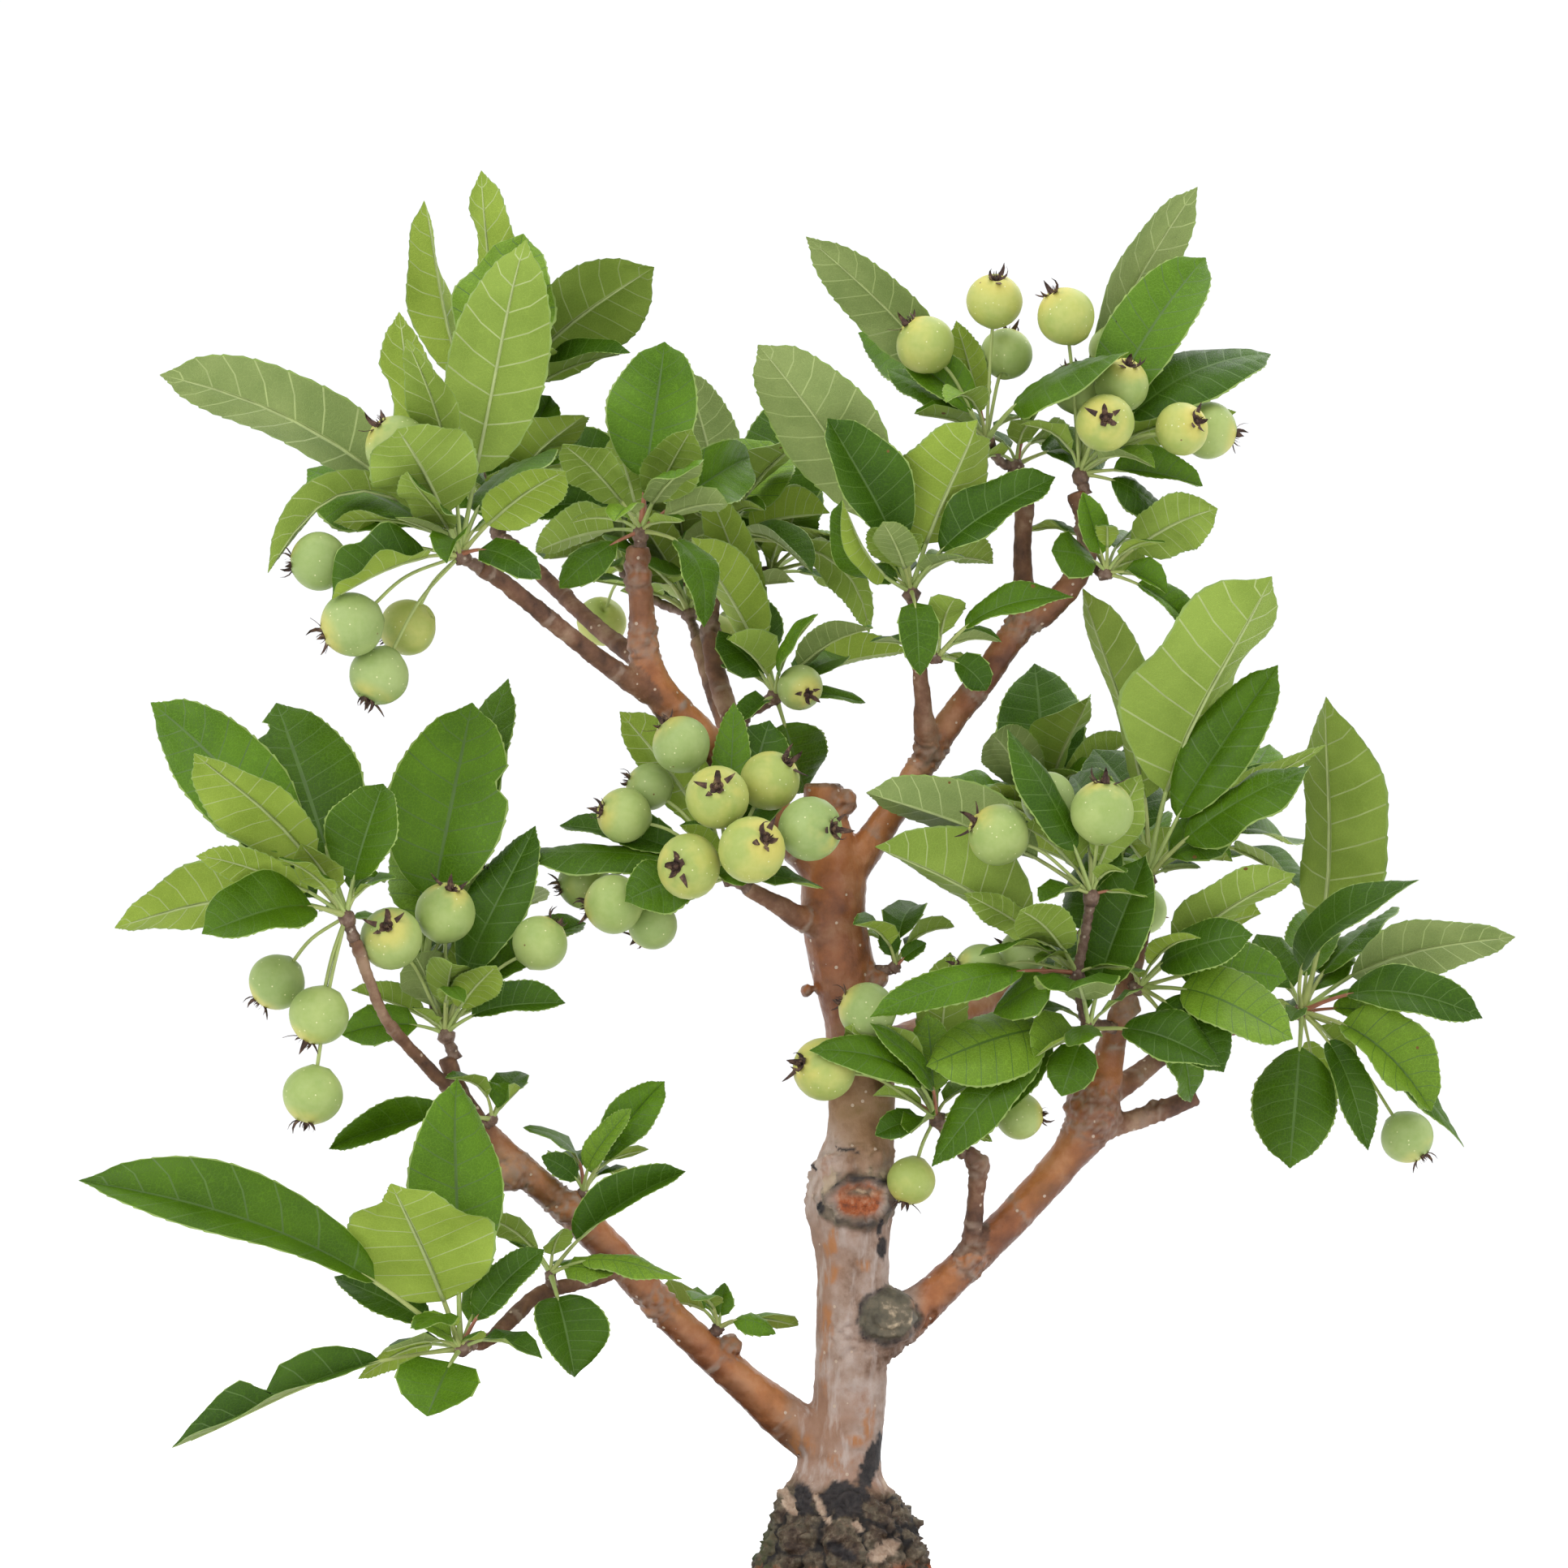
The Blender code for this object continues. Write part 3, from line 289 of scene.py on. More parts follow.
lip = POT_LENGTH / 2
foot = lip - FOOT_INSET
inner = lip - POT_WALL
pot_profile = (
    (0, FLOOR_THICK), (foot - POT_WALL - 3, FLOOR_THICK), (foot - POT_WALL + 4, FLOOR_THICK + 6),
    (inner - 1, POT_HEIGHT - 3), (inner + 1, POT_HEIGHT), (lip - 1, POT_HEIGHT), (lip, POT_HEIGHT - 2),
    (lip, POT_HEIGHT - 9), (lip - 4, POT_HEIGHT - 12), (foot + 5, 12), (foot, 7), (foot - 3, 6),
    (foot - 3, 0), (0, 0))
shell = turned(eased(pot_profile, CORNER), TURN_STEPS, POT_WIDTH / POT_LENGTH)
drains = ((-DRAIN_APART / 2, 0), (DRAIN_APART / 2, 0))
pot_mesh = drilled(shell, drains, DRAIN_RADIUS, 3 * FLOOR_THICK)
pot = add_piece(pot_mesh, "pot_body", [stoneware()])
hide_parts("pot")


# The soil. Coarse moist bonsai grit, heaped into a low dome inside the lip and level round the trunk. Loose
# grains of baked clay, pumice and dark grit lie all over its top.

SOIL_TOP = 72
SOIL_FLAT = 46
SOIL_AT_WALL = 54
GAP = 0.3
SOIL_INSET = 0.9  # from the pot's inner wall, whose flat sides differ from the soil's
MOUND_RISE = 1.3  # of the soil's low mounds
SOIL_STEPS = 56  # points round the soil's top, which are mound and hollow in turn, as its rings are
SOIL_RINGS = 9
DOME_CURVE = 1.2
BED_STEPS = 112
BED_RINGS = 4  # rings of the bed's mesh to a ring of mounds
GRAIN_COUNT = 5200
GRAIN_SIZE = 1.5
GRAIN_SEED = 4
GRAINS = (  # what they are, their share of the count, and their darkest and lightest colours
    ("baked_clay", 0.55, (0.085, 0.045, 0.024), (0.22, 0.125, 0.065)),
    ("dark_grit", 0.3, (0.02, 0.018, 0.016), (0.07, 0.06, 0.052)),
    ("pumice", 0.15, (0.25, 0.23, 0.19), (0.48, 0.45, 0.38)))


def dome(out, edge):
    """The height of the soil's even dome at a radius."""
    past = max(0, (out - SOIL_FLAT) / (edge - SOIL_FLAT))
    return SOIL_TOP - (SOIL_TOP - SOIL_AT_WALL) * past ** DOME_CURVE


def mound(x, y, edge):
    """How far the soil's top stands above its even dome: nothing at the trunk's foot and at the wall."""
    y *= POT_LENGTH / POT_WIDTH
    out = math.hypot(x, y)
    ring = (edge - SOIL_FLAT) / SOIL_RINGS
    fade = max(0, min(1, (out - SOIL_FLAT) / ring, (edge - out) / ring))
    around = math.cos(SOIL_STEPS / 2 * math.atan2(y, x))
    return MOUND_RISE * fade * around * math.cos(math.pi * (out - SOIL_FLAT) / ring)


def soil_finish(name, dark, light):
    made, tree, shader, place_of = finish(name, 0.95)
    cloud = noise_of(tree, place_of, 260, 5, 0.6)
    colour = ramp(tree, cloud, (0.3, dark), (0.7, light))
    dress(shader, colour, cloud, 0.7, 0.0005, between(tree, cloud, 0.98, 0.7))
    return made


def new_tree(name, *inputs):
    """An empty tree of geometry nodes with geometry in and out, the named inputs, and its two end nodes."""
    tree = bpy.data.node_groups.new(name, "GeometryNodeTree")
    tree.interface.new_socket("Geometry", in_out="INPUT", socket_type="NodeSocketGeometry")
    for socket, kind in inputs:
        tree.interface.new_socket(socket, in_out="INPUT", socket_type="NodeSocket" + kind)
    tree.interface.new_socket("Geometry", in_out="OUTPUT", socket_type="NodeSocketGeometry")
    return tree, tree.nodes.new("NodeGroupInput").outputs, tree.nodes.new("NodeGroupOutput")


def random_of(tree, low, high, seed):
    """Random vectors or numbers between low and high, one for each point."""
    kind = "FLOAT_VECTOR" if isinstance(low, tuple) else "FLOAT"
    made = wire(tree, "FunctionNodeRandomValue", {"Seed": seed}, data_type=kind)
    ends = [socket for socket in made.inputs if socket.enabled and socket.name in ("Min", "Max")]
    for socket, value in zip(ends, (low, high)):
        if isinstance(value, bpy.types.NodeSocket):
            tree.links.new(value, socket)
        else:
            socket.default_value = value
    return next(socket for socket in made.outputs if socket.enabled)


def realized(tree, instances, material, end):
    """Ends a tree: makes its copies real and gives them their finish."""
    real = wire(tree, "GeometryNodeRealizeInstances", {"Geometry": instances}).outputs["Geometry"]
    made = wire(tree, "GeometryNodeSetMaterial", {"Geometry": real, "Material": material})
    tree.links.new(made.outputs["Geometry"], end.inputs["Geometry"])


def grain_tree():
    """Scatters lumps over the upward faces of the soil."""
    tree, start, end = new_tree(
        "scattered_grains", ("Density", "Float"), ("Grain Size", "Float"), ("Seed", "Int"),
        ("Finish", "Material"))
    normal = tree.nodes.new("GeometryNodeInputNormal").outputs[0]
    rising = wire(tree, "ShaderNodeSeparateXYZ", {"Vector": normal}).outputs["Z"]
    points = wire(tree, "GeometryNodeDistributePointsOnFaces", {
        "Mesh": start["Geometry"], "Selection": maths(tree, "GREATER_THAN", rising, 0.3),
        "Density": start["Density"], "Seed": start["Seed"]})
    lump = wire(tree, "GeometryNodeMeshIcoSphere", {"Radius": start["Grain Size"], "Subdivisions": 1})
    placed = wire(tree, "GeometryNodeInstanceOnPoints", {
        "Points": points.outputs["Points"], "Instance": lump.outputs["Mesh"],
        "Rotation": random_of(tree, (0, 0, 0), (6.3, 6.3, 6.3), 3),
        "Scale": random_of(tree, (0.5, 0.5, 0.4), (1.5, 1.4, 1.0), 5)})
    realized(tree, placed.outputs["Instances"], start["Finish"], end)
    return tree


def grown_by(mesh, tree, values):
    """The mesh that a tree of geometry nodes makes from another, with its named inputs set."""
    carrier = linked("carrier", mesh)
    modifier = carrier.modifiers.new("grow", "NODES")
    modifier.node_group = tree
    for item in tree.interface.items_tree:
        if item.item_type == "SOCKET" and item.in_out == "INPUT" and item.name in values:
            modifier[item.identifier] = values[item.name]
    return made_real(carrier)


foot = POT_LENGTH / 2 - FOOT_INSET - POT_WALL - SOIL_INSET
wall = POT_LENGTH / 2 - POT_WALL - 1 - SOIL_INSET
rise = (SOIL_AT_WALL - FLOOR_THICK - 6) / (POT_HEIGHT - 9 - FLOOR_THICK)
edge = foot + 4 + (wall - foot - 4) * rise
rings = BED_RINGS * SOIL_RINGS
spots = [SOIL_FLAT * part for part in (0, 0.25, 0.5, 0.75)]
spots += [SOIL_FLAT + (edge - SOIL_FLAT) * ring / rings for ring in range(rings + 1)]
soil_profile = [(out, dome(out, edge)) for out in spots]
soil_profile += [(foot + 4, FLOOR_THICK + 6 + GAP), (foot - 3, FLOOR_THICK + GAP), (0, FLOOR_THICK + GAP)]
bed = turned(soil_profile, BED_STEPS, POT_WIDTH / POT_LENGTH)
for vertex in bed.vertices:
    if vertex.co.z > (SOIL_AT_WALL + 1) * MM:
        vertex.co.z += mound(vertex.co.x / MM, vertex.co.y / MM, edge) * MM
area = math.pi * edge * edge * POT_WIDTH / POT_LENGTH * MM * MM
bed_finish = soil_finish("moist_grit", (0.018, 0.013, 0.01), (0.075, 0.05, 0.034))
soil = add_piece(bed, "soil_bed", [bed_finish])
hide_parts("soil")
scatter = grain_tree()
for seed, (grain, share, dark, light) in enumerate(GRAINS):
    grain_mesh = grown_by(bed, scatter, {
        "Density": GRAIN_COUNT * share / area, "Grain Size": GRAIN_SIZE * MM, "Seed": GRAIN_SEED + seed,
        "Finish": soil_finish(grain, dark, light)})
    add_piece(grain_mesh, "soil_" + grain, ())


# The trunk and its boughs. Living wood under thin bark: dark and flaky over the roots, pale grey with a pink
# tinge up to the first boughs, and glossy red brown with pale pores above. Old pruning cuts have callus rims.

EYE_ACROSS = -17.3
EYE_HEIGHT = 281.9
EYE_DISTANCE = 1600
FOOT_ACROSS = 12
TRUNK = (
    (0, GAP, 34), (0, 10, 31), (0, 21, 28), (1.5, 30, 26), (2, 38, 23.5), (1, 46, 18.5), (0.5, 52, 14.8),
    (2, 62, 13.2), (4.2, 75, 12.2), (5.2, 95, 12), (5.6, 120, 11.9), (5, 131, 13), (4.6, 144, 14.7),
    (6, 156, 13), (8.2, 166, 11.2), (8.4, 184, 11.1), (7, 202, 10.8), (2.5, 220, 11), (-0.6, 236, 10.8),
    (-0.8, 250, 10.8), (-1.4, 259, 9.6), (-3.2, 270, 7.2), (-4.4, 282, 6.4),
)
ROOT_LOBES = 5
ROOT_SWELL = 0.16  # of the radius, at the soil
ROOT_TOP = 45  # where the lobes have faded out
PLATE_RISE = 1.2  # of the flaky bark's plates, which are as wide as the trunk's sides
PLATE_TOP = 48
TRUNK_SIDES = 14
SCARS = (((8, 144, -8.5), (10, 6.5, 8)), ((17.5, 105, -5), (9.5, 8, 9.5)))  # centre and half sizes
LIMBS = {
    "bough_lower_left": ("trunk", 17, (
        (-4, 62, 0, 8.5), (-18, 72, -3, 7.8), (-28, 80.5, -6, 6.5), (-40, 90.8, -10, 5.8),
        (-57, 107, -16, 5.5),
        (-80, 132, -22, 5.8), (-100, 150, -27, 5), (-114, 163, -30, 4.2), (-124, 177, -33, 3.2),
        (-129.5, 191, -35, 3))),
    "bough_lower_right": ("trunk", 30, (
        (6, 94, 0, 10), (18, 102, 2, 9.4), (28, 108.5, 4, 7), (42, 121, 7, 6.1), (62, 141, 11, 5.9),
        (77, 158, 14, 6.4), (85, 170, 15, 8.8), (88, 181, 14, 7.6), (91.5, 194, 12, 4.8), (97, 215, 8, 3.9),
        (102, 237, 5, 3.5))),
    "bough_upper_left": ("trunk", 27, (
        (0, 250, 0, 8), (-14, 264, -1, 7), (-30, 282, -4, 6.5), (-45, 297.5, -8, 6.2), (-56, 309, -11, 6),
        (-62.5, 319, -13, 5.8), (-64, 329, -14, 5.2), (-64.6, 341, -16, 4.2), (-66, 353, -18, 4.6),
        (-65.8, 361, -19, 4))),
    "bough_upper_right": ("trunk", 18, (
        (2, 250, 0, 7), (9, 259, 0, 5.8), (21.5, 277, 1, 4.9), (31, 291.6, 2, 4.8), (39, 304, 3, 4.8),
        (50, 318, 4, 4.6), (61, 334, 5, 5), (70, 339.5, 3, 4.4), (79, 349.5, 0, 4.1), (83.4, 359, -2, 3.6),
        (82.5, 370, -4, 3), (79.8, 379, -5, 3.9))),
    "bough_rear_right": ("trunk", 16, (
        (8, 190, 2, 7), (17, 195, 18, 5.5), (44, 206, 48, 4.6), (74, 222, 82, 3.8), (88, 238, 104, 3))),
    "bough_rear_left": ("trunk", 15, (
        (-1, 250, 2, 7), (-8, 258, 17, 5.5), (-22, 276, 38, 4.8), (-36, 302, 60, 4), (-46, 330, 82, 3))),
    "branch_left_front": ("bough_upper_left", 16, (
        (-60, 311, -12, 4.2), (-68, 316, -17, 3.9), (-80, 324.5, -26, 3.2), (-100, 340.5, -41, 3.1),
        (-112, 350, -50, 2.8), (-118, 354, -54, 3.4))),
    "branch_left_rear": ("bough_upper_left", 17, (
        (-63, 321, -12, 3.6), (-70, 326.5, -3, 3.3), (-80, 334.5, 9, 3), (-98, 351.5, 29, 2.8),
        (-108, 360, 40, 2.5))),
    "branch_middle_rear": ("bough_upper_left", 9, (
        (-26, 279, -2, 4), (-30, 288, 8, 3.8), (-34, 300, 19, 3.5), (-40, 320, 33, 3.5), (-42, 338, 43, 3.2),
        (-38, 356, 50, 3.6))),
    "branch_right_upright": ("bough_upper_right", 12, (
        (61, 335, 5, 4.2), (62.5, 342, 8, 3.8), (62, 360, 12, 3.2), (63, 376, 14, 3.4))),
    "branch_middle_spur": ("bough_upper_right", 12, (
        (31, 291, 2, 4.2), (29.8, 299, -4, 4), (28.6, 312, -9, 2.9), (27, 328, -13, 2.6),
        (25.8, 338, -15, 2.8))),
    "branch_low_right_cut": ("bough_lower_right", 17, (
        (85, 166, 15, 4.2), (97, 169.5, 18, 3.6), (106, 172.5, 20, 3.6), (120, 178, 22, 3.1))),
    "branch_low_right_end": ("bough_lower_right", 12, (
        (87, 176, 14, 4.4), (98, 183.5, 20, 3.8), (110, 192, 30, 3), (128, 199.5, 42, 2.8),
        (148, 205, 52, 2.6))),
    "stub_low_right": ("bough_lower_right", 14, (
        (44, 124, 7, 3.6), (45.8, 136, 3, 3.2), (46.8, 148, 0, 2.8), (47.4, 155, -2, 3.6),
        (43, 160.5, -4, 2.4))),
    "trunk_spur": ("trunk", 15, (
        (0, 234, -1, 5), (-11, 237, -9, 4.4), (-19, 241.5, -16, 3.3), (-30, 247.5, -22, 2.6))),
    "branch_left_outer": ("bough_lower_left", 24, (
        (-119, 171, -31, 2.8), (-127, 179, -36, 2.6), (-136, 188, -44, 2.3), (-147, 200, -53, 2.1),
        (-152, 208, -58, 2), (-160, 230, -66, 2.2))),
    "twig_lower_left": ("bough_lower_left", 8, (
        (-72, 122, -21, 2.8), (-79, 117.5, -28, 2.6), (-97, 113, -41, 2.6), (-106, 106, -50, 2.8),
        (-115, 97, -60, 2.3), (-120, 95, -64, 2.2))),
}
KNOTS = (  # lumps where twigs were pruned: across, height, depth, radius
    (-89, 141, -26, 6.6), (-107.5, 151.5, -29, 6.2), (84.5, 174, 15, 10), (47.5, 155, -2, 4.4),
    (-66, 352, -18, 5.2), (30.5, 293, 1, 6), (62, 336, 5, 6), (3, 276, -2, 5), (-64.3, 329, -14, 6.2),
    (13, 217, -4, 4.6), (-9.5, 213, -4, 2.6), (82.5, 366, -4, 4.1), (26.5, 332, -14, 3.4),
    (105, 173, 20, 4.2),
    (97, 208, 9, 4.6), (-35, 95, -10, 4.4), (-60, 110, -17, 6.1), (44.5, 124, 4, 5.6), (-41.5, 333, 41, 4.1))
SKIN_VOXEL = 1.02
EASE_TIMES = 4
RING_STEP = 2.5
RING_SIDES = 56
FOOT_TOP = 50  # height to which the bark is flaky
PALE_TOP = 158  # height at which the pale bark gives way to red brown
CUT_TOP = (-4.4, 282, 0)  # the sawn top of the trunk: across, height, depth
RING_SCARS = 31  # from one ring of old bud scales to the next along a limb
BURR_SCALE = 0.052  # burrs of the foot to a millimetre
FLAKE_SCALE = 0.13  # plates of old bark to a millimetre
BARK_SEED = 3
DUSTY_TOP = 190  # height at which the last grey leaves the red brown bark
MARKS = (  # patches on the front of the bark: their kind, across, height, half width, half height and lean
    ("black", 15.4, 127, 1.9, 4.4, 0), ("black", 14.4, 135, 1.1, 4.0, 0), ("black", -4.7, 141, 1.7, 1.9, 0),
    ("black", 11.9, 55.5, 3.5, 10.5, 0.42), ("black", 2.6, 45, 8.6, 5.6, -0.15),
    ("black", -10.8, 44, 3.2, 5, 0),
    ("black", 1, 29, 6, 2.6, 0.5), ("black", -8, 154.5, 3.4, 0.8, 0.7), ("black", 3.5, 160, 4.5, 0.6, 0.15),
    ("tan", -1.4, 129, 2.4, 5.5, 0.2), ("tan", -3, 101, 1.8, 8, 0), ("tan", 10.4, 121.5, 3.6, 2, 0.3),
    ("tan", -2.2, 118, 2.6, 4.2, 0.5), ("tan", 11.3, 69, 2, 6.5, 0.1), ("tan", 0.4, 56.5, 4, 3.4, 0),
    ("tan", -13, 62, 6, 5, 0.5), ("tan", -3.6, 88, 1.6, 9, 0), ("tan", 6, 63, 3, 2, 0),
    ("cream", -4.8, 42, 1.6, 6, -0.55), ("cream", -16, 43, 1.8, 4.4, -0.3), ("cream", 15.6, 28, 6, 3, -0.3),
    ("cream", 16.4, 50, 0.9, 5, -0.1), ("cream", 7, 37, 2.4, 1.2, 0.6))
KINDS = ("foot", "pale", "dusty", "orange", "grey", "black", "tan", "cream", "thin", "scarred", "deep")
BARK_NOISES = {  # their scale, detail and roughness
    "broad": (24, 3, 0.5), "cloud": (75, 6, 0.6), "fine": (420, 5, 0.65), "scaly": (130, 6, 0.7)}


def place(across, height, depth):
    """A place on the tree, in millimetres, with the front view's perspective taken out."""
    spread = 1 + depth / EYE_DISTANCE
    x = EYE_ACROSS + (across - EYE_ACROSS) * spread
    z = EYE_HEIGHT + (height - EYE_HEIGHT) * spread
    return Vector((FOOT_ACROSS + x, depth, SOIL_TOP + z))


def as_mesh(bm, name):
    bmesh.ops.triangulate(bm, faces=bm.faces[:])
    bmesh.ops.recalc_face_normals(bm, faces=bm.faces[:])
    return mesh_of(bm, name)


def tree_of(mesh):
    corners = [vertex.co for vertex in mesh.vertices]
    return BVHTree.FromPolygons(corners, [face.vertices for face in mesh.polygons])


def loft(rings, name, tip=None):
    """A closed skin through rings of points with the same count, ending in a point where there is a tip."""
    bm = bmesh.new()
    made = [[bm.verts.new(point * MM) for point in ring] for ring in rings]
    count = len(made[0])
    for lower, upper in zip(made, made[1:]):
        for i in range(count):
            j = (i + 1) % count
            bm.faces.new((lower[i], lower[j], upper[j], upper[i]))
    bm.faces.new(made[0][::-1])
    if tip is None:
        bm.faces.new(made[-1])
    else:
        end = bm.verts.new(tip * MM)
        for i in range(count):
            bm.faces.new((made[-1][i], made[-1][(i + 1) % count], end))
    return as_mesh(bm, name)


def smooth_path(points, span):
    """Points of a Catmull-Rom curve through Vectors that have their radius as a fourth number."""
    ends = [points[0] * 2 - points[1], *points, points[-1] * 2 - points[-2]]
    made = []
    for before, start, end, after in zip(ends, ends[1:], ends[2:], ends[3:]):
        steps = max(1, round((end - start).to_3d().length / span))
        for i in range(steps):
            t = i / steps
            made.append(0.5 * (
                2 * start + (end - before) * t + (2 * before - 5 * start + 4 * end - after) * t * t
                + (3 * start - before - 3 * end + after) * t ** 3))
    return made + [points[-1]]


def tubes(paths, sides_step, name):
    """A mesh of tapering round tubes, each along its own four-number points, with closed ends."""
    curve = bpy.data.curves.new(name, "CURVE")
    curve.dimensions = "3D"
    curve.bevel_depth = MM
    curve.bevel_resolution = sides_step
    curve.use_fill_caps = True
    for path in paths:
        spline = curve.splines.new("POLY")
        spline.points.add(len(path) - 1)
        for made, point in zip(spline.points, path):
            made.co = (*(point.to_3d() * MM), 1)
            made.radius = point.w
    mesh = made_real(linked(name, curve))
    bm = bmesh.new()
    bm.from_mesh(mesh)
    bpy.data.meshes.remove(mesh)
    bmesh.ops.remove_doubles(bm, verts=bm.verts[:], dist=0.0000001)
    return as_mesh(bm, name)


def ball(centre, half_sizes, sides, name):
    bm = bmesh.new()
    bmesh.ops.create_uvsphere(bm, u_segments=sides, v_segments=max(4, sides - 3), radius=1)
    for vertex in bm.verts:
        vertex.co = (centre + Vector(half * part for half, part in zip(half_sizes, vertex.co))) * MM
    return as_mesh(bm, name)


def plate_row(height):
    """Which row of the solid trunk's rings a height lies at, as the plates of flaky bark go by turns."""
    return float(np.interp(height, [row[1] for row in TRUNK], range(len(TRUNK))))


def step_down(value, low, high):
    """1 below the low end, 0 above the high end, and smooth between."""
    t = min(1, max(0, (value - low) / (high - low)))
    return 1 - t * t * (3 - 2 * t)


def trunk_mesh():
    """The trunk as fine rings, lobed and furrowed over the roots."""
    rows = smooth_path([Vector((row[0], row[1], 0, row[2])) for row in TRUNK], RING_STEP)
    rings = []
    for row in rows:
        fade = max(0, 1 - row.y / ROOT_TOP)
        ring = []
        for i in range(RING_SIDES):
            angle = 2 * math.pi * i / RING_SIDES
            lobe = 1 + ROOT_SWELL * fade * math.cos(ROOT_LOBES * angle + 0.6)
            plate = PLATE_RISE * step_down(row.y, PLATE_TOP - 4, PLATE_TOP + 2) * step_down(-row.y, -8, -2)
            plate *= math.cos(TRUNK_SIDES / 2 * angle) * math.cos(math.pi * plate_row(row.y))
            out = Vector((math.cos(angle), math.sin(angle), 0)) * (row.w * lobe + plate)
            ring.append(place(row.x, row.y, 0) + out)
        rings.append(ring)
    return loft(rings, "trunk_core")


def limb_path(name, span):
    points = [Vector((*place(*row[:3]), row[3])) for row in LIMBS[name][2]]
    return smooth_path(points, span)


def skin_over(meshes):
    """One even skin over overlapping closed meshes, with the corners between them filled a little."""
    bm = bmesh.new()
    for mesh in meshes:
        bm.from_mesh(mesh)
    body = linked("core", mesh_of(bm, "core"))
    remesh = body.modifiers.new("skin", "REMESH")
    remesh.mode = "VOXEL"
    remesh.voxel_size = SKIN_VOXEL * MM
    smooth = body.modifiers.new("ease", "SMOOTH")
    smooth.factor = 0.5
    smooth.iterations = EASE_TIMES
    return made_real(body)


def cut_mark(p, centre, half_sizes):
    """How far a point on the trunk's front lies from a cut's centre, as a share of the cut's half sizes."""
    if p.y > centre.y + 9:
        return 9.0
    return math.hypot((p.x - centre.x) / half_sizes[0], (p.z - centre.z) / half_sizes[1])


def finder_of(places):
    finder = KDTree(len(places))
    for index, spot in enumerate(places):
        finder.insert(spot, index)
    finder.balance()
    return finder


def limb_points():
    """Points along the middle of every limb, each with its radius and its run along the limb."""
    rows = []
    for name in LIMBS:
        run = 0
        path = limb_path(name, 2)
        for before, point in zip([path[0], *path], path):
            run += (point - before).to_3d().length
            rows.append((point.to_3d(), point.w, run))
    return rows


def masked(tree, value, share):
    """A mask's value times a number or another mask."""
    return maths(tree, "MULTIPLY", value, share)


def band_of(tree, value, middle, half):
    """1 where a value is at the middle of a band, falling to 0 at its edges."""
    return span_of(tree, maths(tree, "ABSOLUTE", maths(tree, "SUBTRACT", value, middle)), half, 0)


def foot_relief(p):
    """Burrs and plates of old bark: how far they stand out, and how deep in a crack a point is."""
    turned_p = Vector((p.x, p.y, p.z * 0.75)) + noise.noise_vector(p * 0.09) * 6
    turned_p += noise.noise_vector(p * 0.3) * 2
    near, far = noise.voronoi(turned_p * BURR_SCALE)[0][:2]
    burrs = min(1, (far - near) / 0.3)
    near, far = noise.voronoi(turned_p * FLAKE_SCALE)[0][:2]
    plates = min(1, (far - near) / 0.22)
    flakes = noise.fractal(Vector((p.x, p.y, p.z * 1.5)) * 0.3, 0.7, 2.1, 5)
    return 1.7 * burrs + 1.1 * plates - 1.9 + 1.9 * flakes, 1 - min(burrs, 0.35 + 0.65 * plates)


def peak(value, middle, width):
    """1 where a value is at the middle of a bump, falling away in a bell on both sides."""
    return math.exp(-((value - middle) / width) ** 2)


def mark_depth(p, mark):
    """How far inside a leaning patch on the trunk's front a point is, from 0 to 1, with a ragged edge."""
    _, across, height, wide, tall, lean = mark
    centre = place(across, height, -13)
    x, z = p.x - centre.x, p.z - centre.z
    x, z = x * math.cos(lean) - z * math.sin(lean), x * math.sin(lean) + z * math.cos(lean)
    away = math.hypot(x / wide, z / tall)
    soft = 0.35 if mark[0] == "tan" else 0.12
    return step_down(away + 0.38 * noise.noise(p * 0.5), 0.92 - soft, 0.92 + soft) if away < 2 else 0


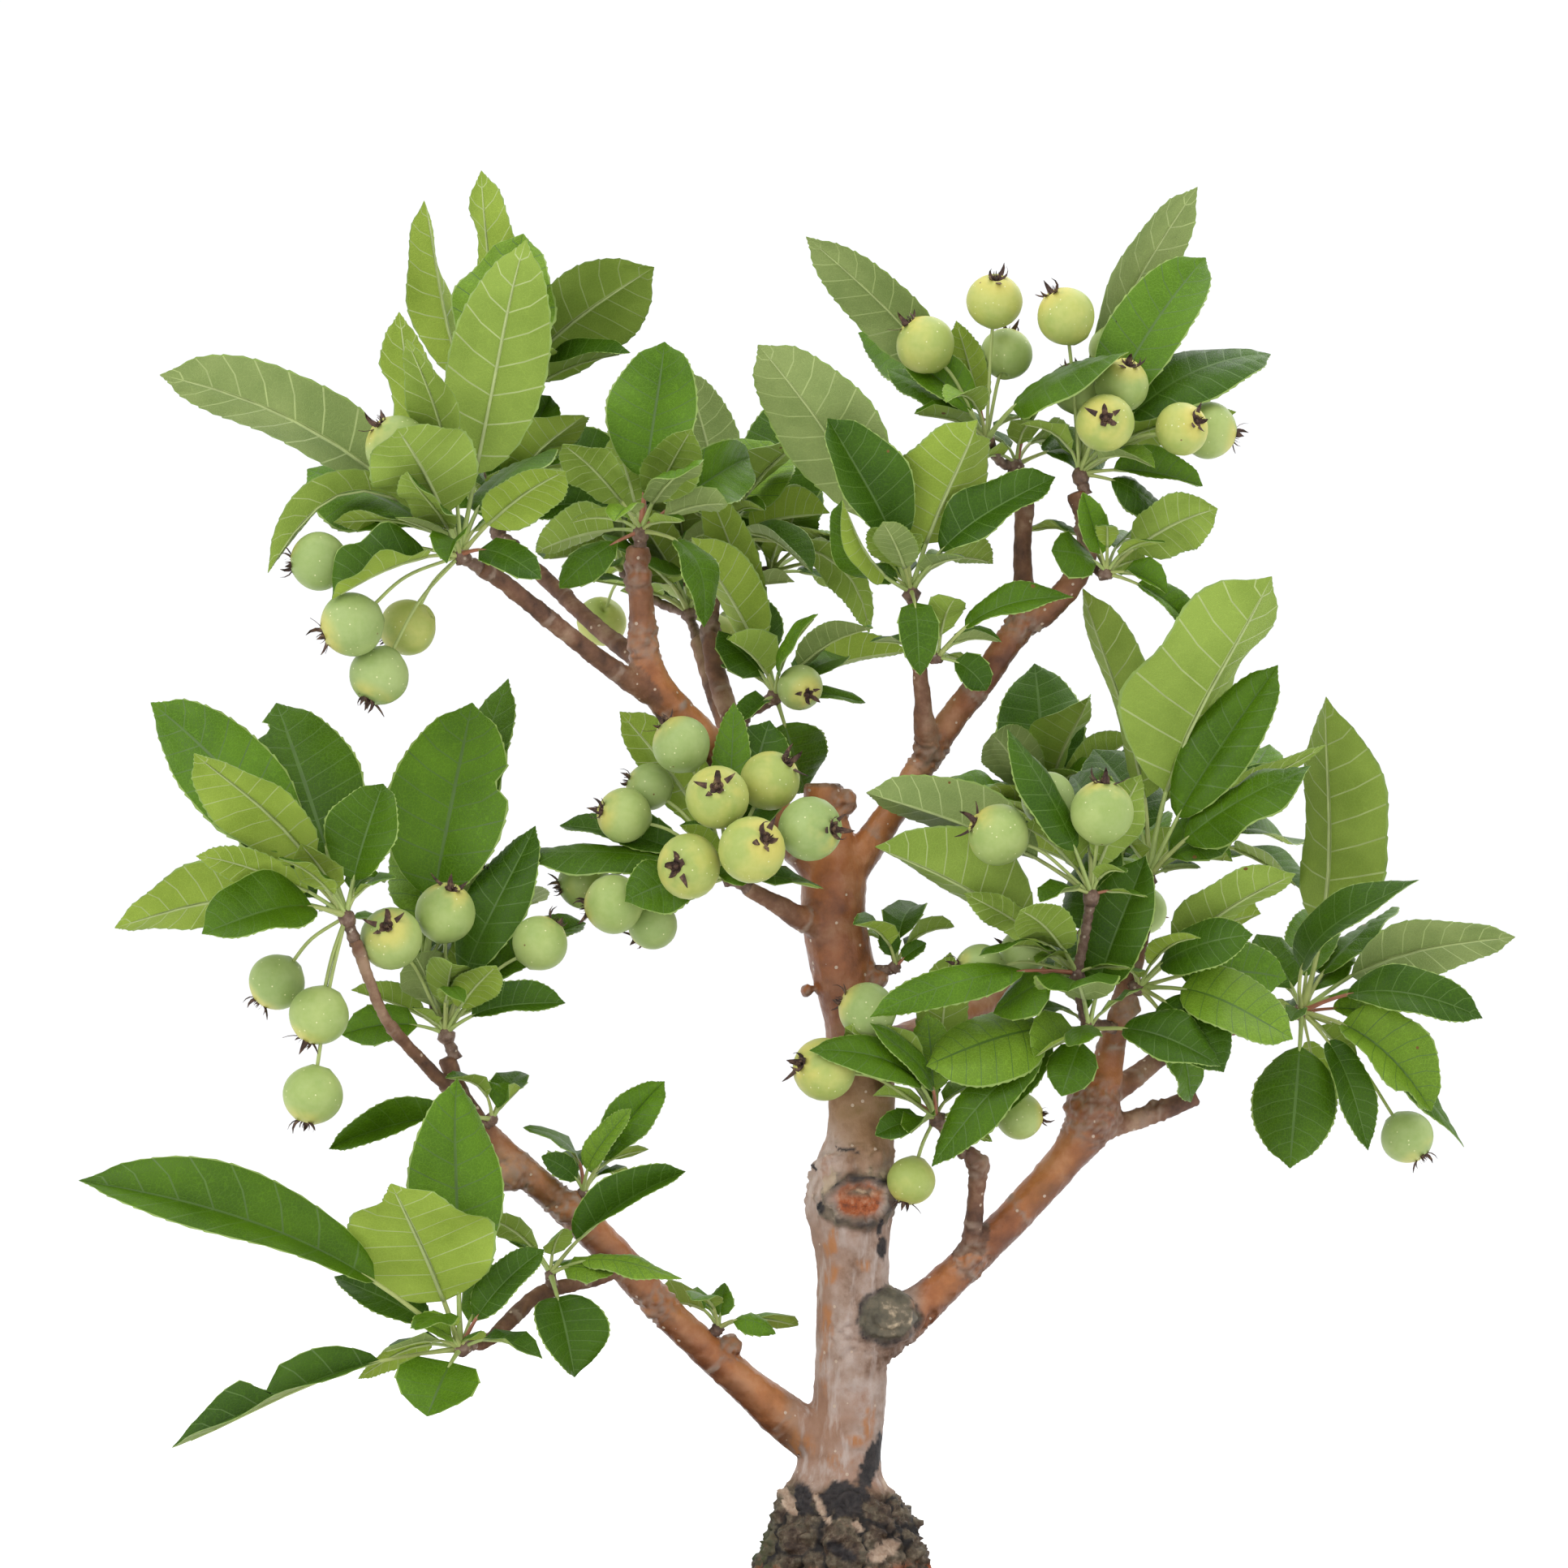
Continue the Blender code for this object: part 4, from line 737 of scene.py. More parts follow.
class Relief:
    """The bark's relief, point by point: how far each stands out, and how much of each kind of bark it is."""

    def __init__(self, count):
        self.kept = {name: np.zeros(count, np.float32) for name in KINDS}
        self.index = 0
        self.rise = 0.0
        self.limbs = limb_points()
        self.limb_finder = finder_of([point for point, _, _ in self.limbs])
        self.knot_finder = finder_of([place(*knot[:3]) for knot in KNOTS])
        self.orange_cut, self.grey_cut = (place(*centre) for centre, _ in SCARS)
        self.cut_top = place(*CUT_TOP)

    def keep(self, kind, share):
        self.kept[kind][self.index] = share

    def keep_most(self, kind, share):
        self.kept[kind][self.index] = max(self.kept[kind][self.index], share)

    def rings_on_limbs(self, p):
        """The rings that old bud scales leave on a limb, and how thin the limb is."""
        _, nearest, away = self.limb_finder.find(p)
        _, radius, run = self.limbs[nearest]
        if away < radius * 1.8:
            self.keep("thin", step_down(radius, 3.2, 5.4))
            ring = abs((run + 9 * noise.noise(p * 0.02)) % RING_SCARS - RING_SCARS / 2)
            scarred = peak(ring, 0, 1.3) * (0.4 + noise.noise(p * 0.35))
            self.rise += 0.45 * max(0, scarred)
            self.keep("scarred", max(0, min(1, 1.3 * scarred)))

    def wrinkles_on_knots(self, p):
        _, nearest, away = self.knot_finder.find(p)
        size = KNOTS[nearest][3]
        if away < size * 1.7:
            wrinkled = step_down(away, size * 0.9, size * 1.7)
            folds = 0.42 * math.cos(away * 3.6 + 5 * noise.noise(p * 0.2))
            self.rise += wrinkled * (folds + 0.9 * noise.noise(p * 0.42))
            self.keep_most("scarred", wrinkled * (0.35 + noise.noise(p * 0.6)))

    def oval_cut(self, p):
        """The oval cut: a raised rim, a sunk orange face with grey over its top, and a fold at one corner."""
        centre = self.orange_cut
        off = cut_mark(p, centre, (10.4, 7.6)) * (1 + 0.24 * noise.noise(p * 0.42))
        if off < 2.6:
            self.rise += 1.7 * peak(off, 1, 0.2) - 2.0 * step_down(off, 0.5, 0.95)
            self.rise += 0.5 * step_down(off, 1.1, 1.6) * math.cos(off * 20)
            corner = max(0, (centre.x - p.x) * 0.05 + (p.z - centre.z) * 0.08)
            self.rise += 1.3 * min(1, corner) * peak(off, 2, 0.16)
            self.keep("orange", step_down(off, 0.66, 0.86))
            self.keep("grey", 0.8 * peak(off, 1.1, 0.22))
            over_top = step_down(off, 0.4, 0.8) * step_down(centre.z - p.z, -3.4, 0.4)
            self.kept["grey"][self.index] += 0.9 * over_top
            ragged_rim = 0.55 + 0.9 * noise.noise(p * 0.33)
            self.keep("black", max(0, min(1, ragged_rim * peak(off, 0.97, 0.15))))

    def grey_callus(self, p):
        """The lower cut, nearly closed by a grey callus, wrinkled underneath and dark round its rim."""
        centre = self.grey_cut
        ragged = 1 + 0.34 * noise.noise(p * 0.15) + 0.1 * noise.noise(p * 0.6)
        off = cut_mark(p, centre, (10.2, 9.2)) * ragged
        if off < 2.4:
            below = step_down(p.z - centre.z, -4, 5)
            self.rise += below * step_down(off, 1.3, 2.2) * 0.65 * math.cos(off * 17)
            lumps = 0.8 * noise.noise(p * 0.5) * step_down(off, 0.8, 1.1)
            self.rise += lumps - step_down(off, 0.1, 0.7)
            self.keep_most("grey", step_down(off, 0.9, 1.06))
            rim = peak(off, 1, 0.09) * (0.5 + 1.2 * noise.noise(p * 0.3))
            self.keep_most("black", min(1, rim))

    def at(self, index, p):
        """How far the bark stands out from the skin at a point."""
        self.index = index
        height = p.z - SOIL_TOP
        ragged = height + 7 * noise.noise(p * 0.09)
        on_trunk = 1 if abs(p.x - FOOT_ACROSS) < 45 and height < 60 else 0
        foot_bark = on_trunk * step_down(ragged, FOOT_TOP - 6, FOOT_TOP + 3)
        near_trunk = step_down(math.hypot(p.x - FOOT_ACROSS - 5, p.y), 17, 26)
        wander = height + 16 * noise.noise(p * 0.05)
        self.keep("dusty", near_trunk * step_down(wander, DUSTY_TOP - 14, DUSTY_TOP + 14))
        grain = Vector((p.x, p.y, p.z * 0.25))
        self.rise = 0.34 * noise.fractal(p * 0.22, 1.0, 2.0, 4) + 0.18 * noise.noise(grain * 0.9)
        if foot_bark:
            lumps, deep = foot_relief(p)
            self.rise += foot_bark * lumps
            self.keep("deep", deep)
        self.rings_on_limbs(p)
        self.wrinkles_on_knots(p)
        self.oval_cut(p)
        self.grey_callus(p)
        if p.y < 0 and near_trunk + foot_bark > 0.1:
            for mark in MARKS:
                self.keep_most(mark[0], mark_depth(p, mark))
        if abs(p.x - self.cut_top.x) < 9 and p.z > self.cut_top.z - 1.2:
            self.rise = 0.5 * noise.noise(Vector((p.x * 0.3, p.y * 1.6, 0)))
            self.keep("grey", 0.6)
        self.keep("foot", foot_bark)
        self.keep("pale", near_trunk * step_down(wander, PALE_TOP - 8, PALE_TOP + 14) * (1 - foot_bark))
        return self.rise


def bark_relief(mesh):
    """Moves the skin's points by the bark's relief, and keeps where each kind of bark is, for the finish."""
    noise.seed_set(BARK_SEED)  # without it the burrs lie elsewhere in each run
    relief = Relief(len(mesh.vertices))
    moved = np.zeros(len(mesh.vertices) * 3, np.float32)
    for index, vertex in enumerate(mesh.vertices):
        rise = relief.at(index, vertex.co / MM)
        moved[3 * index:3 * index + 3] = vertex.co + vertex.normal * rise * MM
    mesh.vertices.foreach_set("co", moved)
    for name, values in relief.kept.items():
        mesh.attributes.new(name, "FLOAT", "POINT").data.foreach_set("value", np.clip(values, 0, 1))
    mesh.update()
    mesh.shade_smooth()


def young_bark(tree, mask, looks, under):
    """Red brown, worn to tan, darkened underneath as painted shade, grey on thin twigs and dusty above the
    pale bark.
    """
    red = ramp(
        tree, looks["broad"], (0.34, (0.175, 0.056, 0.022)), (0.44, (0.35, 0.116, 0.036)),
        (0.56, (0.47, 0.18, 0.052)), (0.7, (0.32, 0.145, 0.055)))
    worn = ramp(
        tree, looks["cloud"], (0.34, (0.075, 0.03, 0.016)), (0.48, (0.33, 0.12, 0.045)),
        (0.64, (0.53, 0.29, 0.16)))
    twig = ramp(
        tree, looks["cloud"], (0.32, (0.06, 0.028, 0.018)), (0.5, (0.18, 0.085, 0.048)),
        (0.68, (0.36, 0.23, 0.15)))
    dusty = ramp(
        tree, looks["cloud"], (0.34, (0.095, 0.046, 0.024)), (0.48, (0.205, 0.122, 0.058)),
        (0.6, (0.285, 0.18, 0.098)), (0.74, (0.18, 0.12, 0.044)))
    # Painted shade: the bark's downward-facing sides darkened to a deep red brown.
    return layers(
        tree, red, (0.42, worn), (masked(tree, under, 0.78), (0.085, 0.028, 0.014)), (mask["thin"], twig),
        (mask["scarred"], (0.28, 0.195, 0.145)), (masked(tree, mask["dusty"], 0.85), dusty))


def pale_bark(tree, mask, looks, under):
    """Grey with a pink tinge, streaked lighter along the trunk, darkened underneath as painted shade, and
    tanned where a patch is worn.
    """
    pale = ramp(
        tree, looks["cloud"], (0.33, (0.16, 0.085, 0.05)), (0.45, (0.33, 0.225, 0.17)),
        (0.58, (0.45, 0.35, 0.3)), (0.72, (0.32, 0.165, 0.1)))
    tanned = masked(tree, mask["tan"], span_of(tree, looks["streak"], 0.62, 0.42))
    # Painted shade: the trunk's downward-facing sides darkened to a dull brown.
    return layers(
        tree, pale, (masked(tree, span_of(tree, looks["broad"], 0.46, 0.6), 0.85), (0.32, 0.175, 0.11)),
        (masked(tree, span_of(tree, looks["streak"], 0.5, 0.72), 0.75), (0.5, 0.41, 0.365)),
        (masked(tree, under, 0.5), (0.12, 0.07, 0.045)), (masked(tree, tanned, 0.9), (0.4, 0.165, 0.058)))


def old_bark(tree, mask, looks, place_of):
    """Dark flaky plates, mossy on one side, orange in a broken band low down, and painted shade that darkens
    the cracks nearly to black.
    """
    plates = ramp(
        tree, looks["scaly"], (0.34, (0.026, 0.014, 0.009)), (0.44, (0.068, 0.042, 0.027)),
        (0.53, (0.125, 0.106, 0.068)), (0.61, (0.2, 0.165, 0.112)), (0.72, (0.37, 0.23, 0.15)))
    crust = ramp(
        tree, looks["fine"], (0.34, (0.016, 0.009, 0.006)), (0.54, (0.105, 0.068, 0.042)),
        (0.72, (0.35, 0.27, 0.19)))
    spot = wire(tree, "ShaderNodeSeparateXYZ", {"Vector": place_of}).outputs
    mossy = masked(tree, span_of(tree, spot["X"], -0.004, -0.016), span_of(tree, looks["cloud"], 0.4, 0.56))
    split = band_of(tree, spot["Z"], (SOIL_TOP + 21) * MM, 0.006)
    glow = masked(tree, split, span_of(tree, looks["scaly"], 0.5, 0.56))
    low = masked(tree, span_of(tree, spot["Z"], (SOIL_TOP + 16) * MM, (SOIL_TOP + 4) * MM), 0.6)
    # Painted shade: the deep cracks between the plates darkened nearly to black.
    return layers(
        tree, plates, (0.45, crust), (mossy, (0.05, 0.068, 0.02)), (glow, (0.38, 0.085, 0.02)),
        (low, (0.085, 0.045, 0.024)), (span_of(tree, mask["deep"], 0.55, 0.96), (0.014, 0.011, 0.01)))


def bark():
    """The whole bark: its three ages, with pores, worn and cut patches and black stains over them."""
    made, tree, shader, place_of = finish("apple_bark", 0.5, Specular_IOR_Level=0.34)
    mask = {name: wire(tree, "ShaderNodeAttribute", attribute_name=name).outputs["Fac"] for name in KINDS}
    looks = {name: noise_of(tree, place_of, *row) for name, row in BARK_NOISES.items()}
    tall = wire(tree, "ShaderNodeMapping", {"Vector": place_of, "Scale": (1, 1, 0.22)}).outputs["Vector"]
    looks["streak"] = noise_of(tree, tall, 240, 4, 0.6)
    normal = tree.nodes.new("ShaderNodeNewGeometry").outputs["Normal"]
    # A mask of the downward-facing sides, where painted shade darkens the bark.
    under = span_of(tree, wire(tree, "ShaderNodeSeparateXYZ", {"Vector": normal}).outputs["Z"], 0.25, -0.75)
    pores = speckle(tree, place_of, 230, 0.13)
    dark_pores = masked(tree, speckle(tree, place_of, 140, 0.075), mask["pale"])
    cream = ramp(tree, looks["fine"], (0.3, (0.34, 0.22, 0.15)), (0.7, (0.55, 0.42, 0.31)))
    orange = ramp(
        tree, looks["fine"], (0.32, (0.12, 0.036, 0.018)), (0.5, (0.33, 0.08, 0.02)),
        (0.68, (0.42, 0.2, 0.11)))
    grey = ramp(
        tree, looks["cloud"], (0.34, (0.03, 0.02, 0.014)), (0.46, (0.098, 0.086, 0.058)),
        (0.54, (0.15, 0.124, 0.082)), (0.6, (0.46, 0.36, 0.24)))
    black = ramp(tree, looks["fine"], (0.35, (0.012, 0.01, 0.011)), (0.7, (0.045, 0.036, 0.034)))
    colour = layers(
        tree, young_bark(tree, mask, looks, under), (mask["pale"], pale_bark(tree, mask, looks, under)),
        (pores, (0.5, 0.38, 0.29)), (dark_pores, (0.07, 0.035, 0.028)),
        (mask["foot"], old_bark(tree, mask, looks, place_of)), (mask["cream"], cream),
        (mask["orange"], orange), (mask["grey"], grey), (mask["black"], black))
    dull = maths(tree, "MAXIMUM", maths(tree, "MAXIMUM", mask["foot"], mask["dusty"]), mask["thin"])
    relief = maths(tree, "MULTIPLY_ADD", pores, 0.4, maths(tree, "ADD", looks["fine"], looks["streak"]))
    dress(shader, colour, relief, 0.5, 0.0006, maths(tree, "MULTIPLY_ADD", dull, 0.34, 0.32))
    return made


wood_meshes = [trunk_mesh()]
wood_meshes += [ball(place(*centre), half, 24, "cut_callus") for centre, half in SCARS]
wood_meshes += [ball(place(*knot[:3]), (knot[3] * 0.86,) * 3, 20, "knot") for knot in KNOTS]
wood_meshes += [tubes([limb_path(name, 3)], 6, name) for name in LIMBS]
skin = skin_over(wood_meshes)
bark_relief(skin)
wood = add_piece(skin, "trunk_and_boughs", [bark()])
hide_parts("trunk", *LIMBS)


# The spurs and twigs. Short knobby growth that an apple bears its leaves and fruit on, ringed by the scars of
# old bud scales. Each grows on from a limb. The leaves and apples are set out here too, by one seeded rule.

BITES = {  # where insects have bitten a leaf: its mass and tip, then side, place along it, span and depth
    ("foliage_upper_left_rear", (-118, 486)): ((1, 0.62, 0.16, 0.55),),
    ("foliage_upper_left_rear", (-137, 476)): ((-1, 0.66, 0.1, 0.5),),
    ("foliage_upper_left", (-147, 441)): ((1, 0.55, 0.14, 0.45),),
    ("foliage_middle", (47, 403)): ((-1, 0.93, 0.07, 0.85),),
    ("foliage_lower_left", (-148, 149)): ((1, 0.9, 0.1, 0.6), (-1, 0.96, 0.05, 0.4)),
    ("foliage_lower_left", (-221, 61)): ((1, 0.52, 0.05, 0.6),),
    ("foliage_left_outer", (-187, 309)): ((-1, 0.86, 0.05, 0.55),),
    ("foliage_right_end", (198, 173)): ((1, 0.8, 0.09, 0.45),),
    ("foliage_left", (-121, 309)): ((1, 0.6, 0.05, 0.25),)}
FACING = {
    "front": Vector((0, -1, 0)), "back": Vector((0, 1, 0)), "up": Vector((0, 0, 1)),
    "left": Vector((-1, 0, 0)), "right": Vector((1, 0, 0)),
}
MASSES = {
    "foliage_upper_left": {
        "on": "branch_left_front", "spurs": ((-125, 358, -58),), "more": 5,
        "leaves": (
            (0, -225, 418, -22, 26, "back up", 0.15), (0, -189, 352, -14, 16, "left up", 0.4),
            (0, -178, 388, 8, 31, "front up", 0.1), (0, -147, 441, 6, 21, "back left up", 0.08),
            (0, -146, 400, -34, 32, "back up", 0.1), (0, -90, 386, -20, 20, "back up", 0.12),
            (0, -98, 350, -14, 14, "front up", 0.2)),
        "fruit": (
            (0, -172, 356, -8, 9.3), (0, -161, 335, -12, 10.2), (0, -152, 318, -4, 9.6),
            (0, -142.5, 334, 12, 9.2), (0, -146, 394, -10, 10.2), (0, -132, 383, 10, 8))},
    "foliage_upper_left_rear": {
        "on": "branch_left_rear", "spurs": ((-113, 366, 44), (-117, 399, 37)), "more": 4,
        "leaves": (
            (1, -118, 486, 12, 23, "back up right", 0.06), (1, -137, 476, 4, 19, "back left up", 0.08),
            (1, -104, 465, -6, 34, "front up", 0.08), (1, -61, 456, -24, 40, "back up left", 0.12),
            (0, -72, 374, -12, 16, "front up", 0.15), (0, -95, 411, 4, 24, "front up", 0.1),
            (0, -84, 404, 14, 15, "back up", 0.1)),
        "fruit": ()},
    "foliage_upper_middle": {
        "on": "bough_upper_left", "spurs": ((-65, 366, -21),), "more": 6,
        "leaves": (
            (0, -57, 429, 14, 28, "front up", 0.06), (0, -48, 400, -18, 18, "back up", 0.08),
            (0, -91, 395, -20, 17, "back up", 0.12), (0, -44, 334, -8, 15, "front right up", 0.32),
            (0, -36, 375, -10, 10, "back up", 0.15)),
        "fruit": ()},
    "foliage_upper_middle_rear": {
        "on": "branch_middle_rear", "spurs": ((-37, 363, 52),), "more": 5,
        "leaves": (
            (0, -22, 396, 12, 31, "front up", 0.1), (0, -50, 420, 18, 20, "back up", 0.1),
            (0, 11, 332, -20, 14, "back up", 0.33), (0, -32, 391, -18, 13, "front up", 0.28)),
        "fruit": ()},
    "foliage_inner": {
        "on": "branch_middle_rear", "spurs": ((-20, 311, 10),), "more": 3,
        "leaves": (
            (0, -48, 364, -18, 18, "back up", 0.12), (0, -44, 384, -6, 15, "back up", 0.1),
            (0, -39, 333, 4, 16, "front up", 0.1), (0, 4, 324, 14, 16, "front up", 0.12),
            (0, 24, 326, 26, 13, "back up", 0.1), (0, 10, 309, -4, 8, "front up", 0.1),
            (0, -10, 279, 10, 24, "front", 0.08)),
        "fruit": ((0, -12, 314, -10, 7.6),)},
    "foliage_fruit_cluster": {
        "on": "trunk_spur", "spurs": ((-36, 251, -25),), "more": 3,
        "leaves": (
            (0, -110, 260, -6, 16, "front up", 0.08), (0, -72, 306, 14, 22, "back up", 0.1),
            (0, -4, 247, -8, 13, "front up", 0.1), (0, -70, 243, -12, 20, "front up", 0.12)),
        "fruit": (
            (0, -51.5, 295, -6, 9.5), (0, -62, 281, 8, 7.8), (0, -70.5, 271.5, -4, 9),
            (0, -39.5, 277.5, -24, 10.2),
            (0, -22, 283, -10, 10), (0, -8.6, 267, -20, 10.5), (0, -28, 260, -34, 10.8),
            (0, -49, 254.5, -26, 10.5),
            (0, -74, 242, -6, 9.7), (0, -84, 249, 10, 8.6), (0, -61, 235, 4, 8.2))},
    "foliage_middle": {
        "on": "branch_middle_spur", "spurs": ((25, 346, -17),), "more": 3,
        "leaves": (
            (0, -26, 428, -18, 31, "back up", 0.12), (0, -3, 402, 10, 24, "front up", 0.08),
            (0, 47, 403, -16, 31, "back up", 0.08), (0, 73, 384, -4, 19, "front up", 0.14),
            (0, 16, 367, -22, 17, "back up", 0.1), (0, 7, 356, 0, 10, "front up", 0.1)),
        "fruit": ()},
    "foliage_middle_low": {
        "on": "branch_middle_spur", "spurs": ((34, 324, -20),), "more": 0,
        "leaves": ((0, 79, 344, -8, 13, "front up", 0.2), (0, 50, 313, 0, 11, "front up", 0.2)),
        "fruit": ()},
    "foliage_upper_right": {
        "on": "bough_upper_right", "spurs": ((81, 385, -6),), "more": 4,
        "leaves": (
            (0, 122, 483, 4, 24, "back up left", 0.1), (0, 123, 457, 18, 25, "front up", 0.12),
            (0, 146, 426, 10, 23, "front up", 0.18), (0, 122, 381, 4, 13, "front up", 0.1)),
        "fruit": (
            (0, 76.5, 437.5, -12, 9.7), (0, 92, 426.5, 8, 8.2), (0, 95, 414.5, -10, 9.2),
            (0, 89.5, 402, -24, 9.5),
            (0, 115, 400, -14, 8.7), (0, 124, 399.5, 6, 9.4), (0, 80, 413, 4, 8))},
    "foliage_upper_right_inner": {
        "on": "branch_right_upright", "spurs": ((60, 388, 13), (50, 396, -2)), "more": 3,
        "leaves": (
            (1, -10, 464, -8, 21, "back up", 0.12), (1, 97, 425, -22, 27, "front up", 0.12),
            (1, 23, 424, -2, 16, "front up", 0.15), (1, 17, 420, 16, 13, "front up", 0.1)),
        "fruit": ((1, 29.7, 428, -8, 9.7), (1, 52.7, 442.5, -6, 9.2), (1, 56.7, 425, 8, 8.7))},
    "foliage_right_side": {
        "on": "bough_upper_right", "spurs": ((90, 352, -4),), "more": 1,
        "leaves": (
            (0, 127, 373.5, -12, 21, "back up", 0.12), (0, 82, 379, -14, 10, "front", 0.08),
            (0, 110, 345, -4, 9, "front up", 0.2), (0, 103, 357, 8, 11, "back up", 0.1)),
        "fruit": ()},
    "foliage_right_upper": {
        "on": "bough_lower_right", "spurs": ((104, 251, 5),), "more": 5,
        "leaves": (
            (0, 145, 351, -16, 47, "back up left", 0.08), (0, 82, 347, 6, 27, "back up right", 0.08),
            (0, 145, 321, 20, 23, "front up", 0.08), (0, 158, 288, -12, 25, "front up", 0.1),
            (0, 163, 295, 12, 12, "back up", 0.1)),
        "fruit": ()},
    "foliage_right_inner": {
        "on": "bough_lower_right", "spurs": ((84, 200, -10), (80, 219, -24), (85, 245, -32)), "more": 3,
        "leaves": (
            (1, 13, 261, -12, 27, "back up", 0.1), (2, 10, 279, 8, 22, "back up", 0.08),
            (2, 56, 300, 10, 15, "front up", 0.08), (2, 63, 268, -18, 15, "back up", 0.18),
            (0, 103, 258, -14, 23, "front up", 0.1), (0, 30, 188, -14, 30, "front up", 0.12),
            (0, 66, 191, -18, 15, "front up", 0.1), (0, 32, 154, -18, 16, "front up", 0.18)),
        "fruit": (
            (2, 54, 265, -6, 10), (2, 70.5, 277, 8, 9), (2, 88.5, 272.5, -10, 10.6), (1, 48, 220, 0, 8.6),
            (1, 62.5, 226, 12, 8))},
    "foliage_right_middle": {
        "on": "bough_lower_right", "spurs": ((101, 214, 2),), "more": 4,
        "leaves": (
            (0, 152, 197, -14, 28, "front up", 0.15), (0, 153, 252, -16, 23, "back up", 0.1),
            (0, 150, 217, 12, 23, "front up", 0.12), (0, 129, 186, -20, 23, "front up", 0.15)),
        "fruit": ()},
    "foliage_right_end": {
        "on": "branch_low_right_end", "spurs": ((155, 206, 54),), "more": 6,
        "leaves": (
            (0, 163, 311, -6, 40, "back up right", 0.1), (0, 194, 250, -28, 18, "front up", 0.3),
            (0, 226, 231, -6, 25, "back up", 0.14), (0, 198, 173, -16, 23, "front up", 0.2),
            (0, 209, 161, 6, 14, "front up", 0.15), (0, 151, 154, -26, 27, "front up", 0.12)),
        "fruit": ((0, 190, 164.5, -6, 9),)},
    "foliage_stub": {
        "on": "stub_low_right", "spurs": ((33, 171, -8),), "more": 2,
        "leaves": (
            (0, -9, 194, -18, 15, "front up", 0.2), (0, 11, 203, -14, 11, "front up", 0.15),
            (0, 13, 165, -10, 10, "front up", 0.1), (0, 38, 226, 2, 17, "back up", 0.08)),
        "fruit": (
            (0, 10.3, 206.5, -14, 9.5), (0, -4, 187, -20, 10.5), (0, 25, 150, -4, 8.1),
            (0, 61, 171.5, 6, 8))},
    "foliage_left": {
        "on": "bough_lower_left", "spurs": ((-130, 199, -35), (-137, 220, -27)), "more": 3,
        "leaves": (
            (1, -121, 309, 12, 37, "front up", 0.06), (1, -109, 317, 26, 19, "front up", 0.1),
            (0, -84, 235, 8, 16, "front up", 0.15), (0, -90, 209, -6, 13, "front up", 0.15),
            (0, -106, 248, -12, 19, "back up", 0.08), (0, -141, 225, -24, 18, "back up", 0.1)),
        "fruit": (
            (0, -98.5, 229, -6, 9), (0, -130, 239, -14, 10), (0, -148, 230.5, -24, 10),
            (1, -119.5, 246, 6, 8.6))},
    "foliage_left_outer": {
        "on": "branch_left_outer", "spurs": ((-163, 238, -68),), "more": 3,
        "leaves": (
            (0, -228, 309, 14, 28, "front up", 0.08), (0, -211, 292, -14, 26, "back up", 0.12),
            (0, -187, 309, 22, 35, "front up", 0.06), (0, -240, 234, -8, 24, "back up", 0.15),
            (0, -211, 232, -26, 28, "front up", 0.15), (0, -208, 272, 10, 14, "front up", 0.1)),
        "fruit": ((0, -186, 216, 8, 9), (0, -172, 205, -6, 9.5), (0, -174, 178.5, -10, 9.5))},
    "foliage_lower_left": {
        "on": "twig_lower_left", "spurs": ((-125, 94, -67),), "more": 2,
        "leaves": (
            (0, -252, 150, -14, 26, "front up", 0.14), (0, -148, 149, -26, 46, "back up", 0.06),
            (0, -167, 118, 8, 15, "front up", 0.1), (0, -221, 61, -8, 15, "front up", 0.1),
            (0, -136, 71.5, -18, 26, "front up", 0.1), (0, -159, 84, 4, 10, "back up", 0.2),
            (0, -97, 127, 4, 13, "front up", 0.15), (0, -126, 184, 0, 29, "front up", 0.08)),
        "fruit": ()},
    "foliage_low_sprig": {
        "on": "twig_lower_left", "spurs": ((-95, 119, -41),), "more": 0,
        "leaves": (
            (0, -87, 84.5, -12, 24, "front up", 0.15), (0, -50, 153, -8, 13, "front up", 0.12),
            (0, -74, 119, -10, 11, "front up", 0.15), (0, -51, 118, -2, 9, "front up", 0.2)),
        "fruit": ()},
    "foliage_bough_sprig": {
        "on": "bough_lower_left", "spurs": ((-84, 146, -26),), "more": 0,
        "leaves": (
            (0, -57, 183, 4, 15, "front up", 0.1), (0, -98, 158, -4, 8, "front up", 0.2),
            (0, -68, 174, -12, 9, "front up", 0.15)),
        "fruit": ()},
    "foliage_outer_sprig": {
        "on": "bough_lower_left", "spurs": ((-114.4, 170.4, -34.4),), "more": 0,
        "leaves": (
            (0, -168, 161, -6, 11, "front up", 0.12), (0, -105, 181, 2, 12, "front up", 0.1)),
        "fruit": ()},
    "foliage_tiny_sprig": {
        "on": "bough_lower_left", "spurs": ((-39, 101, -13),), "more": 0,
        "leaves": ((0, -37, 116, -2, 8, "front up", 0.05), (0, -20, 99, -4, 8, "front up", 0.3)),
        "fruit": ()},
    "foliage_trunk_sprig": {
        "on": "trunk", "spurs": ((20, 221, -4),), "more": 0,
        "leaves": ((0, 16, 235, -2, 7, "front up", 0.05), (0, 30, 229, -2, 7, "front up", 0.1)),
        "fruit": ()},
    "foliage_rear_right": {
        "on": "bough_rear_right", "spurs": ((92, 246, 112), (70, 268, 122), (124, 262, 104)), "more": 8,
        "box": ((22, 196, 62), (150, 325, 172)),
        "leaves": ((1, 66, 322, 10, 30, "front up", 0.1), (2, 150, 262, 30, 28, "right up", 0.15)),
        "fruit": ((0, 84, 262, 34, 9.5), (0, 102, 240, 30, 9), (1, 52, 262, 24, 9))},
    "foliage_rear_left": {
        "on": "bough_rear_left", "spurs": ((-49, 339, 90), (-70, 352, 96), (-22, 352, 94)), "more": 8,
